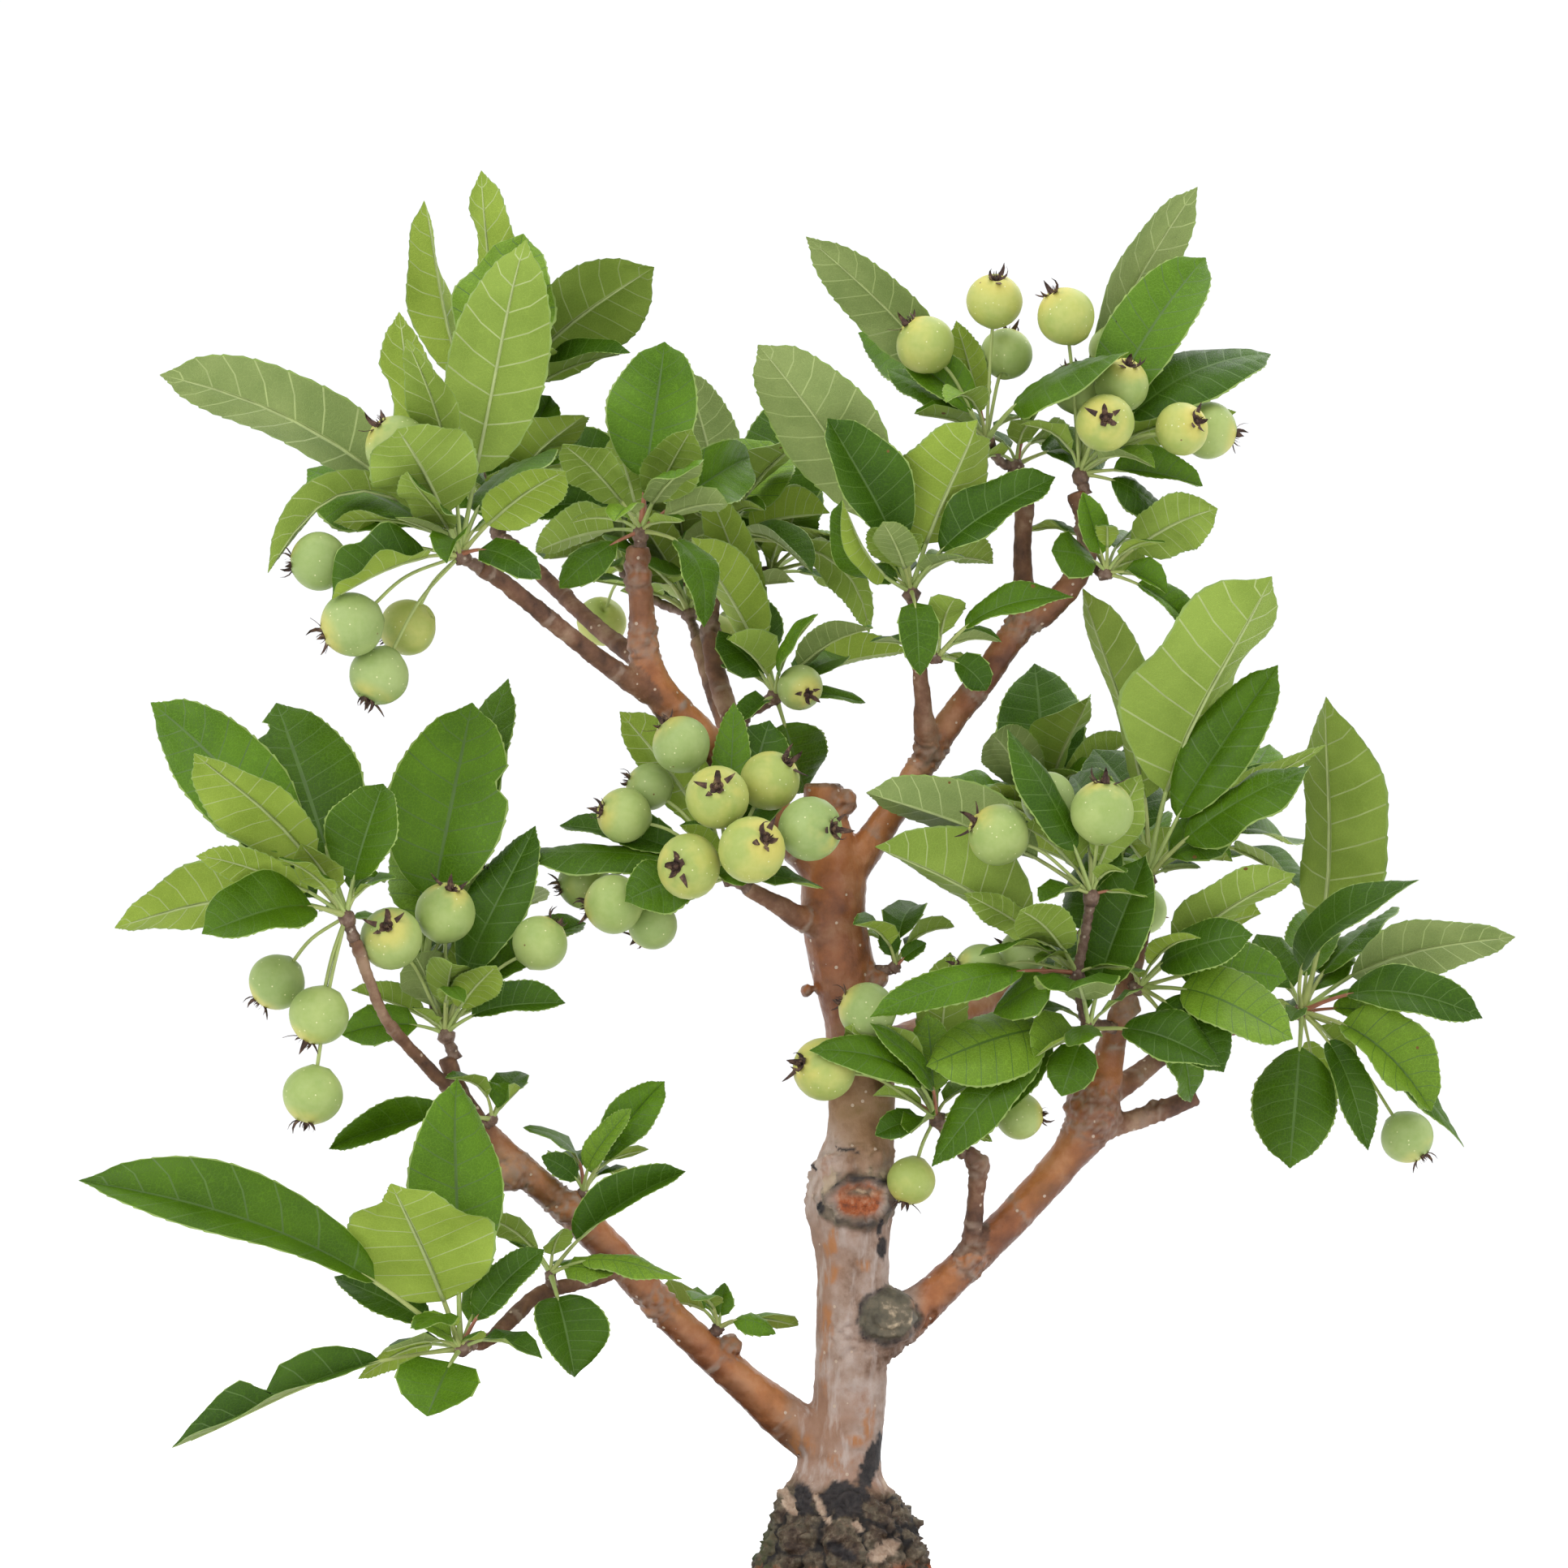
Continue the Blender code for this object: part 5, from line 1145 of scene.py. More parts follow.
        "box": ((-105, 290, 40), (14, 418, 150)),
        "leaves": ((1, -92, 398, 10, 30, "front up", 0.1), (2, -14, 412, 8, 30, "front up", 0.1)),
        "fruit": ((0, -54, 352, 32, 9.5), (0, -38, 330, 34, 9), (1, -78, 336, 28, 9))},
}
PETIOLE_SHARE = 0.26  # of the whole leaf's length
PETIOLE_RADIUS = 0.8
LEAF_KEEL = 0.03  # how far the midrib stands under the blade's edges, of its length
STATIONS = ((0.48, 1.0), (0.78, 0.74))  # along the leaf, and the share of its full width there
SUNK = 1.0  # how deep a root reaches into its spur
SPUR_RADIUS = 3.2
TWIG_RADIUS = 1.7
STALK_RADIUS = 0.75
FRUIT_SIDES = 7
CLEARANCE = 0.5
DEPTH_STEPS = (0, -7, 7, -14, 14, -22, 22, -30, 30)  # tried in turn where a leaf would touch something
GOLDEN_ANGLE = math.pi * (3 - math.sqrt(5))
SEED = 20
STUB_OF_TWIG = 0.35
MORE_LENGTH = (38, 62)
MORE_WIDTH = (0.34, 0.46)  # of the length
MORE_TILT = (0.7, 1.35)  # from the spur's axis, radians


def facing(words):
    return sum((FACING[word] for word in words.split()), Vector((0, 0, 0))).normalized()


def leaf_shape(root, tip, width, looks, arch, grow=0.0):
    """A leaf with its stalk: a bowed loft of three-cornered sections, with the midrib as a keel below."""
    chord = tip - root
    length = chord.length
    along = chord.normalized()
    up = (looks - along * looks.dot(along)).normalized()
    side = along.cross(up)
    bend = (root + tip) / 2 + up * 2 * arch * length
    keel = length * LEAF_KEEL + grow

    def section(share, half, depth):
        centre = root * (1 - share) ** 2 + bend * 2 * share * (1 - share) + tip * share ** 2
        ahead = ((bend - root) * (1 - share) + (tip - bend) * share).normalized()
        rise = side.cross(ahead).normalized() * depth / 2
        return [centre + side * half + rise, centre - side * half + rise, centre - rise]

    stalk = PETIOLE_RADIUS + grow
    rings = [section(share, stalk, 2 * stalk) for share in (-SUNK / length, PETIOLE_SHARE)]
    rings += [section(share, width / 2 * part + grow, keel) for share, part in STATIONS]
    return loft(rings, "leaf", tip + along * grow)


def touches(mesh, others):
    tree = tree_of(mesh)
    return any(tree.overlap(other) for other in others)


class Mass:
    """A mass of foliage as it grows: its leaves, apples and twigs, and trees of what they may touch."""

    def __init__(self, name, wood, grown):
        self.rows = MASSES[name]
        self.name = name
        self.random = random.Random(SEED + sum(map(ord, name)))
        self.blades = []
        self.taken = list(wood.values()) + [tree for mass in grown for tree in mass.trees]
        self.trees = []
        self.spurs = [place(*spot) for spot in self.rows["spurs"]]
        self.carrier = wood[self.rows["on"]]
        self.leaves = []
        self.finer = []
        self.apples = []
        self.twigs = []
        self.knobs = []

    def keep(self, mesh):
        self.trees.append(tree_of(mesh))
        bpy.data.meshes.remove(mesh)

    def grow_twigs(self):
        """The stem, from inside the bark to the first spur, and twigs from there to the other spurs."""
        first = self.spurs[0]
        bark_point, normal, _, _ = self.carrier.find_nearest(first * MM)
        start = bark_point / MM + normal * GAP
        out = start + normal * min(6, (first - start).length * STUB_OF_TWIG)
        reach = first + (first - out).normalized() * 0.5
        rings = [Vector((*point, TWIG_RADIUS)) for point in (start, out, reach)]
        self.keep(tubes([rings], 0, "stem"))
        sag = (out + first) / 2 + Vector((0, 0, -0.6))
        self.twigs.append([(start - normal * 2, 2.3), (out, 1.9), (sag, 1.7), (reach, 2)])
        heading = [(first - out).normalized()]
        for before, spur in zip(self.spurs, self.spurs[1:]):
            middle = (before + spur) / 2 + Vector((0, 2, -3))
            ends = [Vector((*point, TWIG_RADIUS)) for point in (before, middle, spur)]
            self.keep(tubes([ends], 0, "twig"))
            self.twigs.append([(before, 2), (middle, 1.6), (spur, 1.8)])
            heading.append((spur - middle).normalized())
        for spur, axis in zip(self.spurs, heading):
            size = SPUR_RADIUS if self.rows["more"] or self.rows["fruit"] else SPUR_RADIUS * 0.7
            self.knobs.append((spur, axis, size))
            if self.carrier.find_nearest(spur * MM)[3] / MM > size + CLEARANCE:
                self.keep(ball(spur, (size, size, size), 6, "spur"))

    def grow_leaf(self, spur, tip, width, looks, arch, bites=(), finer=False):
        """Keeps a leaf, with its tip stepped in depth until it touches nothing, or none for want of room.

        A finer leaf may start among the other leaves of its spur, and touches none of them further out.
        """
        root = self.spurs[spur]
        for step in DEPTH_STEPS:
            moved = tip + Vector((0, step, 0))
            if finer:
                outer = leaf_shape(root + (moved - root) * 0.3, moved, width, looks, arch, CLEARANCE)
                if touches(outer, self.blades):
                    continue
            if not touches(leaf_shape(root, moved, width, looks, arch, CLEARANCE), self.taken):
                self.keep(leaf_shape(root, moved, width, looks, arch))
                self.blades.append(self.trees[-1])
                kept = self.finer if finer else self.leaves
                kept.append((root, moved, width, looks, arch, bites))
                return

    def grow_fruit(self, spur, across, height, out, radius):
        """Keeps an apple on a stalk that bows up from its spur and enters the apple from the spur's side."""
        root = self.spurs[spur]
        centre = place(across, height, self.rows["spurs"][spur][2] + out)
        way = (centre - root).normalized()
        bow = (root + centre) / 2 + Vector((0, 0, 0.1 * (centre - root).length))
        enter = centre - (centre - bow).normalized() * radius * 0.7
        for size in (radius, radius * 0.85):
            points = (root + way * 0.5, bow, enter)
            stalk = tubes([[Vector((*point, STALK_RADIUS)) for point in points]], 0, "stalk")
            room = ball(centre, (size + CLEARANCE,) * 3, FRUIT_SIDES, "apple")
            if not touches(room, self.taken) and not touches(stalk, self.taken):
                self.keep(stalk)
                self.keep(ball(centre, (size,) * 3, FRUIT_SIDES, "apple"))
                self.blades.append(self.trees[-1])
                self.apples.append((points, centre, size))
                return

    def grow_young(self):
        """Small leaves close round each spur, as the newest are."""
        for spur, root in enumerate(self.spurs):
            turn = self.random.uniform(0, 2 * math.pi)
            for _ in range(YOUNG_LEAVES):
                turn += GOLDEN_ANGLE
                length = self.random.uniform(*YOUNG_LENGTH)
                out = Vector((math.cos(turn), math.sin(turn), self.random.uniform(-0.2, 1.1))).normalized()
                looks = (Vector((0, 0, 1.4)) - out * 0.5).normalized()
                width = length * self.random.uniform(0.36, 0.5)
                arch = self.random.uniform(0.05, 0.25)
                self.grow_leaf(spur, root + out * length, width, looks, arch, finer=True)

    def box(self):
        """The lowest and highest corners of what the leading leaves and fruit span."""
        if "box" in self.rows:
            low, high = self.rows["box"]
        else:
            spots = [row[1:3] for row in self.rows["leaves"] + self.rows["fruit"]]
            depths = [spur[2] for spur in self.rows["spurs"]]
            low = (min(s[0] for s in spots), min(s[1] for s in spots), min(depths) - 34)
            high = (max(s[0] for s in spots), max(s[1] for s in spots), max(depths) + 40)
        return place(*low), place(*high)

    def grow_more(self):
        """Leaves round each spur by the golden angle, kept where they are in the box and touch nothing."""
        low, high = self.box()
        for spur, root in enumerate(self.spurs):
            axis = (root - self.spurs[spur - 1] if spur else Vector((0, 0, 1))).normalized()
            axis = (axis + Vector((0, 0, 1.2))).normalized()
            across = axis.orthogonal().normalized()
            turn = self.random.uniform(0, 2 * math.pi)
            for _ in range(2 * self.rows["more"]):
                turn += GOLDEN_ANGLE
                length = self.random.uniform(*MORE_LENGTH)
                width = length * self.random.uniform(*MORE_WIDTH)
                tilt = self.random.uniform(*MORE_TILT)
                arch = self.random.uniform(0.06, 0.18)
                out = across * math.cos(turn) + axis.cross(across) * math.sin(turn)
                tip = root + (axis * math.cos(tilt) + out * math.sin(tilt)) * length
                inside = all(a < b < c for a, b, c in zip(low, tip, high))
                looks = (axis * 1.2 + Vector((0, 0, 1)) - out * 0.3).normalized()
                swollen = leaf_shape(root + (tip - root) * 0.3, tip, width, looks, arch, CLEARANCE)
                if inside and not touches(swollen, self.blades):
                    self.grow_leaf(spur, tip, width, looks, arch)

    def grow(self):
        self.grow_twigs()
        for row in self.rows["fruit"]:
            self.grow_fruit(*row)
        for spur, across, height, out, width, words, arch in self.rows["leaves"]:
            tip = place(across, height, self.rows["spurs"][spur][2] + out)
            bites = BITES.get((self.name, (across, height)), ())
            self.grow_leaf(spur, tip, width, facing(words), arch, bites)
        self.grow_more()


FINER_LEAVES = {  # leaves that the solids leave out, set between theirs, in rows as in the table of masses
    "foliage_upper_left": (
        (0, -143, 430, -20, 18, "back up right", 0.08), (0, -167, 343, -12, 18, "front up", 0.12),
        (0, -116, 392, 16, 22, "front up", 0.1), (0, -131, 412, 18, 24, "front up right", 0.06),
        (0, -103, 463, 14, 30, "back up", 0.05)),
    "foliage_upper_left_rear": (
        (0, -88, 385, -14, 17, "back up", 0.06), (1, -76, 425, 10, 26, "front up", 0.12),
        (0, -130, 392, 8, 20, "front up", 0.1)),
    "foliage_upper_middle": (
        (0, -74, 399, 14, 18, "back up", 0.06), (0, -100, 359, 12, 14, "back up", 0.12),
        (0, -92, 347, -6, 12, "front up", 0.1), (0, -29, 392, 8, 20, "front up right", 0.12)),
    "foliage_upper_middle_rear": (
        (0, -2, 372, 6, 18, "back up", 0.12), (0, -70, 382, 10, 20, "front up", 0.12),
        (0, -8, 352, -18, 15, "front up right", 0.2)),
    "foliage_inner": (
        (0, -6, 338, -12, 15, "front up", 0.1), (0, -33, 302, -16, 9, "front up", 0.1),
        (0, 12, 333, 8, 13, "back up", 0.2)),
    "foliage_fruit_cluster": (
        (0, -22, 303, 22, 25, "front up", 0.05), (0, -34, 309, 10, 12, "front up", 0.06),
        (0, -92, 268, 16, 15, "front up", 0.1)),
    "foliage_middle": (
        (0, 20, 384, 16, 19, "front up", 0.1), (0, 28, 318, -14, 13, "front up", 0.3),
        (0, 52, 372, 12, 15, "back up", 0.12), (0, 2, 376, -18, 14, "front up left", 0.12)),
    "foliage_upper_right": (
        (0, 66, 466, 18, 18, "front up", 0.08), (0, 104, 446, 14, 22, "front up", 0.1),
        (0, 112, 368, 10, 14, "front up", 0.15), (0, 136, 408, -16, 18, "back up", 0.15)),
    "foliage_upper_right_inner": (
        (1, 40, 436, 4, 12, "back up", 0.1), (1, 26, 405, -14, 14, "front up left", 0.12),
        (0, 92, 392, 14, 18, "front up", 0.12), (1, 8, 436, 12, 18, "front up", 0.1),
        (0, 66, 428, 16, 18, "front up", 0.08)),
    "foliage_right_side": ((0, 70, 358, 16, 16, "front up", 0.12), (0, 120, 330, 6, 12, "front up", 0.15)),
    "foliage_right_upper": (
        (0, 80, 307, -10, 18, "back up", 0.08), (0, 55, 299, 14, 16, "front up", 0.1),
        (0, 118, 322, 20, 26, "front up", 0.06), (0, 132, 268, 10, 20, "front up", 0.15),
        (0, 66, 322, 18, 22, "front up", 0.08)),
    "foliage_right_inner": (
        (1, 42, 246, 8, 12, "back up", 0.1), (1, 32, 226, -4, 16, "back up", 0.1),
        (0, 75, 178, -16, 16, "front up", 0.15), (0, 128, 188, -14, 22, "front up", 0.15),
        (1, 11, 205, -2, 12, "front up", 0.12), (2, 101, 285, 12, 20, "back up", 0.1),
        (0, 48, 170, -8, 18, "front up", 0.15), (1, 52, 206, 10, 18, "front up", 0.12)),
    "foliage_right_middle": (
        (0, 128, 256, 12, 22, "front up", 0.1), (0, 138, 232, -14, 18, "front up", 0.15),
        (0, 84, 244, 14, 16, "front up", 0.1), (0, 118, 176, 12, 16, "front up", 0.2)),
    "foliage_right_end": (
        (0, 177, 160, -12, 13, "front up", 0.22), (0, 163, 166, 8, 10, "back up", 0.1),
        (0, 190, 203, 12, 12, "front up", 0.1), (0, 172, 186, -14, 11, "back up", 0.1),
        (0, 180, 262, 10, 26, "front up", 0.1), (0, 212, 205, 8, 18, "front up", 0.2),
        (0, 140, 232, 8, 18, "front up", 0.12)),
    "foliage_stub": ((0, 52, 163, -8, 8, "back up", 0.1), (0, 30, 206, 6, 14, "front up", 0.1)),
    "foliage_left": (
        (0, -165, 198, -10, 14, "front up", 0.15), (0, -162, 213, -4, 9, "back up", 0.1),
        (0, -100, 268, 10, 20, "front up", 0.08), (1, -140, 272, 14, 22, "front up", 0.1),
        (0, -112, 222, -16, 14, "back up", 0.1)),
    "foliage_left_outer": (
        (0, -212, 258, -10, 12, "back up", 0.1), (0, -196, 285, 16, 22, "front up", 0.08),
        (0, -150, 282, 12, 22, "front up", 0.08), (0, -198, 250, 16, 14, "front up", 0.1),
        (0, -178, 262, -18, 14, "back up", 0.12)),
    "foliage_lower_left": ((0, -112, 122, 6, 12, "front up", 0.12), (0, -140, 104, -8, 10, "front up", 0.1))}
YOUNG_LEAVES = 4  # tried at each spur
YOUNG_LENGTH = (16, 30)

masses = []
limb_trees = {name: tree_of(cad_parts[name].data) for name in ("trunk", *LIMBS)}
for mass_name in MASSES:
    masses.append(Mass(mass_name, limb_trees, masses))
    masses[-1].grow()
for mass in masses:
    mass.taken = list(limb_trees.values())
    mass.taken += [tree for other in masses if other is not mass for tree in other.trees]
    for spur, across, height, out, width, words, arch in FINER_LEAVES.get(mass.name, ()):
        tip = place(across, height, mass.rows["spurs"][spur][2] + out)
        mass.grow_leaf(spur, tip, width, facing(words), arch, finer=True)
    mass.grow_young()
leaves = [leaf for mass in masses for leaf in mass.leaves]
finer_leaves = [leaf for mass in masses for leaf in mass.finer]
apples = [apple for mass in masses for apple in mass.apples]
twigs = [twig for mass in masses for twig in mass.twigs]

TWIG_SPAN = 1.2
SCALE_RINGS = 0.9  # rings to a millimetre and a half of twig


def ringed(points, seed):
    """A twig's path, swollen in rings where its buds once were."""
    path = smooth_path([Vector((*point, radius)) for point, radius in points], TWIG_SPAN)
    for index, point in enumerate(path):
        uneven = noise.noise(Vector((seed, index * 0.6, 0)))
        point.w *= 1 + 0.12 * math.sin(index * SCALE_RINGS * 2.4 + seed) + 0.1 * uneven
    return path


def twig_bark():
    made, tree, shader, place_of = finish("twig_bark", 0.6)
    cloud = noise_of(tree, place_of, 330, 5, 0.6)
    colour = ramp(
        tree, cloud, (0.28, (0.05, 0.03, 0.024)), (0.5, (0.155, 0.086, 0.058)), (0.75, (0.3, 0.21, 0.155)))
    colour = mix(tree, speckle(tree, place_of, 420, 0.2), colour, (0.4, 0.32, 0.25))
    dress(shader, colour, cloud, 0.8, 0.0006, between(tree, cloud, 0.72, 0.45))
    return made


def spur_path(spur, axis, size):
    """A spur's points and radii: it swells to its ring of leaf scars, and narrows to its bud."""
    shape = ((-1.1, 0.62), (-0.3, 0.95), (0.1, 0.8), (0.7, 0.35))
    return [(spur + axis * size * along, size * wide) for along, wide in shape]


def add_tubes(paths, sides_step, name, material):
    mesh = tubes(paths, sides_step, name)
    mesh.shade_smooth()
    add_piece(mesh, name, [material])


knobs = [spur_path(*knob) for mass in masses for knob in mass.knobs]
twig_paths = [ringed(twig, index) for index, twig in enumerate(twigs + knobs)]
add_tubes(twig_paths, 3, "spurs_and_twigs", twig_bark())


# The leaves. Thin serrated blades, satin deep green above and pale and matt below, folded a little along a
# pale midrib that runs on as a yellow or reddish stalk. Side veins net the blade, and its margin is pale.

VEIN_PAIRS = 8
VEIN_SHARE = 0.0065  # of the blade's length that one side vein is wide
ROWS_BETWEEN = 3
BLADE_COLUMNS = (0.0, 0.034, 0.52, 0.972, 1.0)  # from the midrib to the margin
MIDRIB = ((0, 0.62), (0.12, 0.52), (0.26, 0.46), (0.42, 0.4), (0.58, 0.33), (0.74, 0.26), (0.88, 0.18))
TIP_STEPS = (0, 0, 0, 0, -7, 7, -13, 13, -20, 20, 0, 0)  # a tip's move in depth at each try for a blade
TIP_FRONT, TIP_BACK = -112, 160  # how far a tip may be moved
CALM_WIDTH = 21  # a wider leaf is folded and twisted less
FINER_CUTS = 3
SMALL_LEAF = 34  # a leaf shorter than this has fewer veins and rows
SMALL_PAIRS = 5
VEIN_SWEEP = 0.62
BLADE_THICK = 0.26
TOOTH = 0.42
QUILT = 0.45  # how far the blade swells between two veins
PIECE_LEAVES = 150  # leaves to a piece
LEAF_SEED = 19
UPPER_GREENS = (
    ((0.03, 0.08, 0.002), (0.05, 0.118, 0.003)), ((0.043, 0.103, 0.002), (0.068, 0.15, 0.003)),
    ((0.064, 0.145, 0.004), (0.098, 0.205, 0.008)), ((0.112, 0.21, 0.012), (0.165, 0.282, 0.022)))
UNDER_GREENS = (
    ((0.195, 0.285, 0.04), (0.265, 0.37, 0.062)), ((0.22, 0.315, 0.036), (0.3, 0.405, 0.058)),
    ((0.19, 0.26, 0.075), (0.27, 0.34, 0.112)))
STALK_COLOURS = ((0.4, 0.5, 0.15), (0.44, 0.5, 0.16), (0.4, 0.15, 0.085))


class Pattern:
    """How a blade is divided: its rows and columns, its veins, and its faces with the kind of each."""

    def __init__(self, pairs, rows_between):
        self.veins = [((pair + 0.55) / (pairs + 0.35)) ** 0.92 for pair in range(pairs)]
        rows = [0.0]
        for vein in self.veins:
            rows += list(np.linspace(rows[-1], vein - VEIN_SHARE / 2, rows_between + 1)[1:])
            rows.append(vein + VEIN_SHARE / 2)
        self.rows = np.array([*rows, *np.linspace(rows[-1], 1, rows_between + 2)[1:]])
        self.sides = np.array([-part for part in BLADE_COLUMNS[:0:-1]] + list(BLADE_COLUMNS))
        self.middle = len(self.sides) // 2
        shape = (len(self.rows), len(self.sides))
        self.inside = np.zeros(shape)
        self.inside[1:-1, 1:-1] = 1
        top = np.arange(shape[0] * shape[1]).reshape(shape)
        under = top.copy()
        under[self.inside > 0] = top.size + np.arange(int(self.inside.sum()))
        self.upper_faces = self.quads(top[:-1, :-1], top[:-1, 1:], top[1:, 1:], top[1:, :-1])
        self.under_faces = self.quads(under[:-1, :-1], under[1:, :-1], under[1:, 1:], under[:-1, 1:])
        kind = np.zeros((shape[0] - 1, shape[1] - 1), int)  # 0 for a panel, 1 for a vein, 2 for the margin
        kind[rows_between:-1:rows_between + 1, :] = 1
        kind[:, self.middle - 1:self.middle + 1] = 1
        kind[:, (0, -1)] = 2
        self.kinds = kind.reshape(-1)
        between_veins = np.interp(self.rows, [0, *self.veins, 1], np.arange(pairs + 2))
        self.swells = np.sin(math.pi * between_veins)[:, None] ** 2

    @staticmethod
    def quads(*corners):
        return np.stack([part.reshape(-1) for part in corners], 1)


LARGE_PATTERN = Pattern(VEIN_PAIRS, ROWS_BETWEEN)
SMALL_PATTERN = Pattern(SMALL_PAIRS, 1)


def outline(u):
    """A blade's half width at each place from its foot at 0 to its tip at 1, with a peak of about 1."""
    body = np.power(u, 0.6) * np.power(1 - u, 0.7) / 0.408
    return np.where(u > 0.9, body * (0.35 + 6.5 * (1 - u)), body)


def bezier(root, bend, tip, t):
    return root * (1 - t) ** 2 + bend * 2 * t * (1 - t) + tip * t * t


def leaf_lines(root, tip, looks, arch):
    """The three points of a leaf's bowed midrib, and the way across it."""
    chord = tip - root
    along = chord.normalized()
    up = (looks - along * looks.dot(along)).normalized()
    bend = (root + tip) / 2 + up * 2 * arch * chord.length
    return np.array(root), np.array(bend), np.array(tip), np.array(along.cross(up))


def unit(vectors):
    return vectors / np.maximum(np.linalg.norm(vectors, axis=-1, keepdims=True), 1e-9)


class Blade:
    """One leaf's blade: the points of its upper and lower skins, which meet in its margin, foot and tip."""

    def __init__(self, leaf, rng):
        root, tip, width, looks, arch, bites = leaf
        self.leaf = leaf
        self.pattern = SMALL_PATTERN if (tip - root).length < SMALL_LEAF else LARGE_PATTERN
        rows, sides = self.pattern.rows, self.pattern.sides
        start, bend, end, side = leaf_lines(root, tip, looks, arch)
        length = (tip - root).length
        s = rows[:, None]
        out = np.abs(sides)[None, :]
        u = s + VEIN_SWEEP * out ** 1.25 * s * (1 - s) * (0.5 + 0.5 * s)
        t = PETIOLE_SHARE + u * (1 - PETIOLE_SHARE)
        spine = bezier(start, bend, end, t[..., None])
        ahead = unit((bend - start) * (1 - t[..., None]) + (end - bend) * t[..., None])
        rise = unit(np.cross(side, ahead))
        calm = min(1.0, CALM_WIDTH / width)
        twist = (np.clip(rng.gauss(0, 0.42), -0.95, 0.95) * calm * u)[..., None]
        across = side * np.cos(twist) + rise * np.sin(twist)
        rise = rise * np.cos(twist) - side * np.sin(twist)
        fold = math.radians(rng.uniform(8, 50)) * calm
        half = np.maximum(width * 0.54 / math.cos(fold) ** 0.8 * outline(np.clip(u, 0, 1)), 0.05)
        for bite_side, spot, span, depth in bites:
            bitten = np.exp(-((u - spot) / span) ** 4) * (np.sign(sides)[None, :] == bite_side)
            half = half * (1 - depth * bitten)
        row = np.arange(len(rows))[:, None]
        faded = np.clip(np.minimum(s, 1 - s) * 14, 0, 1)
        teeth = np.where(row % 2, TOOTH, -0.3 * TOOTH) * faded * (out > 0.99)
        wave, waves, phase = rng.uniform(0.05, 0.2), rng.uniform(1.0, 2.2), rng.uniform(0, 6.3)
        roll = rng.uniform(-0.25, 0.65)
        lift = half * (math.sin(fold) * out - roll * out ** 2)
        lift = lift + wave * half * out ** 2 * np.sin(6.3 * (waves * u + 0.5 * (sides > 0)) + phase)
        lift = lift + QUILT * self.pattern.swells * 4 * out * (1 - out) * np.clip(half / 8, 0, 1)
        lift = lift - rng.uniform(0, 0.22) * length * u * u * (1 - u)
        flat = (half * out + teeth) * math.cos(fold) * np.sign(sides)
        middle = spine + across * flat[..., None] + rise * lift[..., None]
        skin = rise * (BLADE_THICK / 2) * self.pattern.inside[..., None]
        self.upper = middle + skin
        self.lower = middle - skin
        self.rise = rise

    def tree(self):
        """A tree for asking what the blade cuts, with its middle and its reach from there, in metres."""
        points = self.upper.reshape(-1, 3) * MM
        middle = points.mean(0)
        reach = np.linalg.norm(points - middle, axis=1).max()
        return middle, reach, BVHTree.FromPolygons(points.tolist(), self.pattern.upper_faces.tolist())

    def stalk(self):
        """The leaf's stalk from inside its spur to the blade's foot."""
        root, tip, width, looks, arch, _ = self.leaf
        start, bend, end, _ = leaf_lines(root, tip, looks, arch)
        grown = min(1.25, 0.7 + width / 60)
        t = np.array((0.0, 0.05, 0.12, 0.2))[:, None]
        points = list(zip(bezier(start, bend, end, t), (1.3, 0.95, 0.72, 0.66)))
        points.append((self.lower[0, self.pattern.middle], 0.62))
        points.append((self.lower[2, self.pattern.middle], 0.4))
        return [Vector((*point, radius * grown)) for point, radius in points]

    def midrib(self):
        """The midrib's ridge under the blade."""
        grown = min(1.25, 0.7 + self.leaf[2] / 60)
        rows = len(self.pattern.rows) - 1
        points = []
        for share, radius in MIDRIB:
            index = round(share * rows)
            lowered = self.rise[index, self.pattern.middle] * (radius * grown - 0.1) * (share > 0)
            points.append(Vector((*(self.lower[index, self.pattern.middle] - lowered), radius * grown)))
        return points


def settle(leaf, rng, standing):
    """The blade, of a few tries, that cuts least into what stands already, and how much it cuts."""
    best = None
    for step in TIP_STEPS:
        root, tip, *others = leaf
        moved = Vector((tip.x, min(max(tip.y + step, TIP_FRONT), TIP_BACK), tip.z)) if step else tip
        made = Blade((root, moved, *others), rng)
        middle, reach, tree = made.tree()
        near = [other for spot, far, other in standing if np.linalg.norm(spot - middle) < far + reach]
        cuts = sum(len(tree.overlap(other)) for other in near)
        if best is None or cuts < best[0]:
            best = (cuts, made, (middle, reach, tree))
        if not cuts:
            break
    return best


def settled(leaves, finer, apples, rng):
    """The blades of all leaves. A finer leaf is left out where it would cut into what stands already."""
    standing = [(np.zeros(3), 1.0, tree) for tree in limb_trees.values()]
    for _, centre, size in apples:
        standing.append((np.array(centre) * MM, size * MM, tree_of(ball(centre, (size,) * 3, 10, "apple"))))
    chosen = []
    for leaf in leaves + finer:
        cuts, made, place_taken = settle(leaf, rng, standing)
        if len(chosen) < len(leaves) or cuts < FINER_CUTS:
            chosen.append(made)
            standing.append(place_taken)
    return chosen


UPPER, UNDER = len(UPPER_GREENS), len(UNDER_GREENS)
UPPER_VEIN, UNDER_VEIN, MARGIN = UPPER + UNDER, UPPER + UNDER + 1, UPPER + UNDER + 2


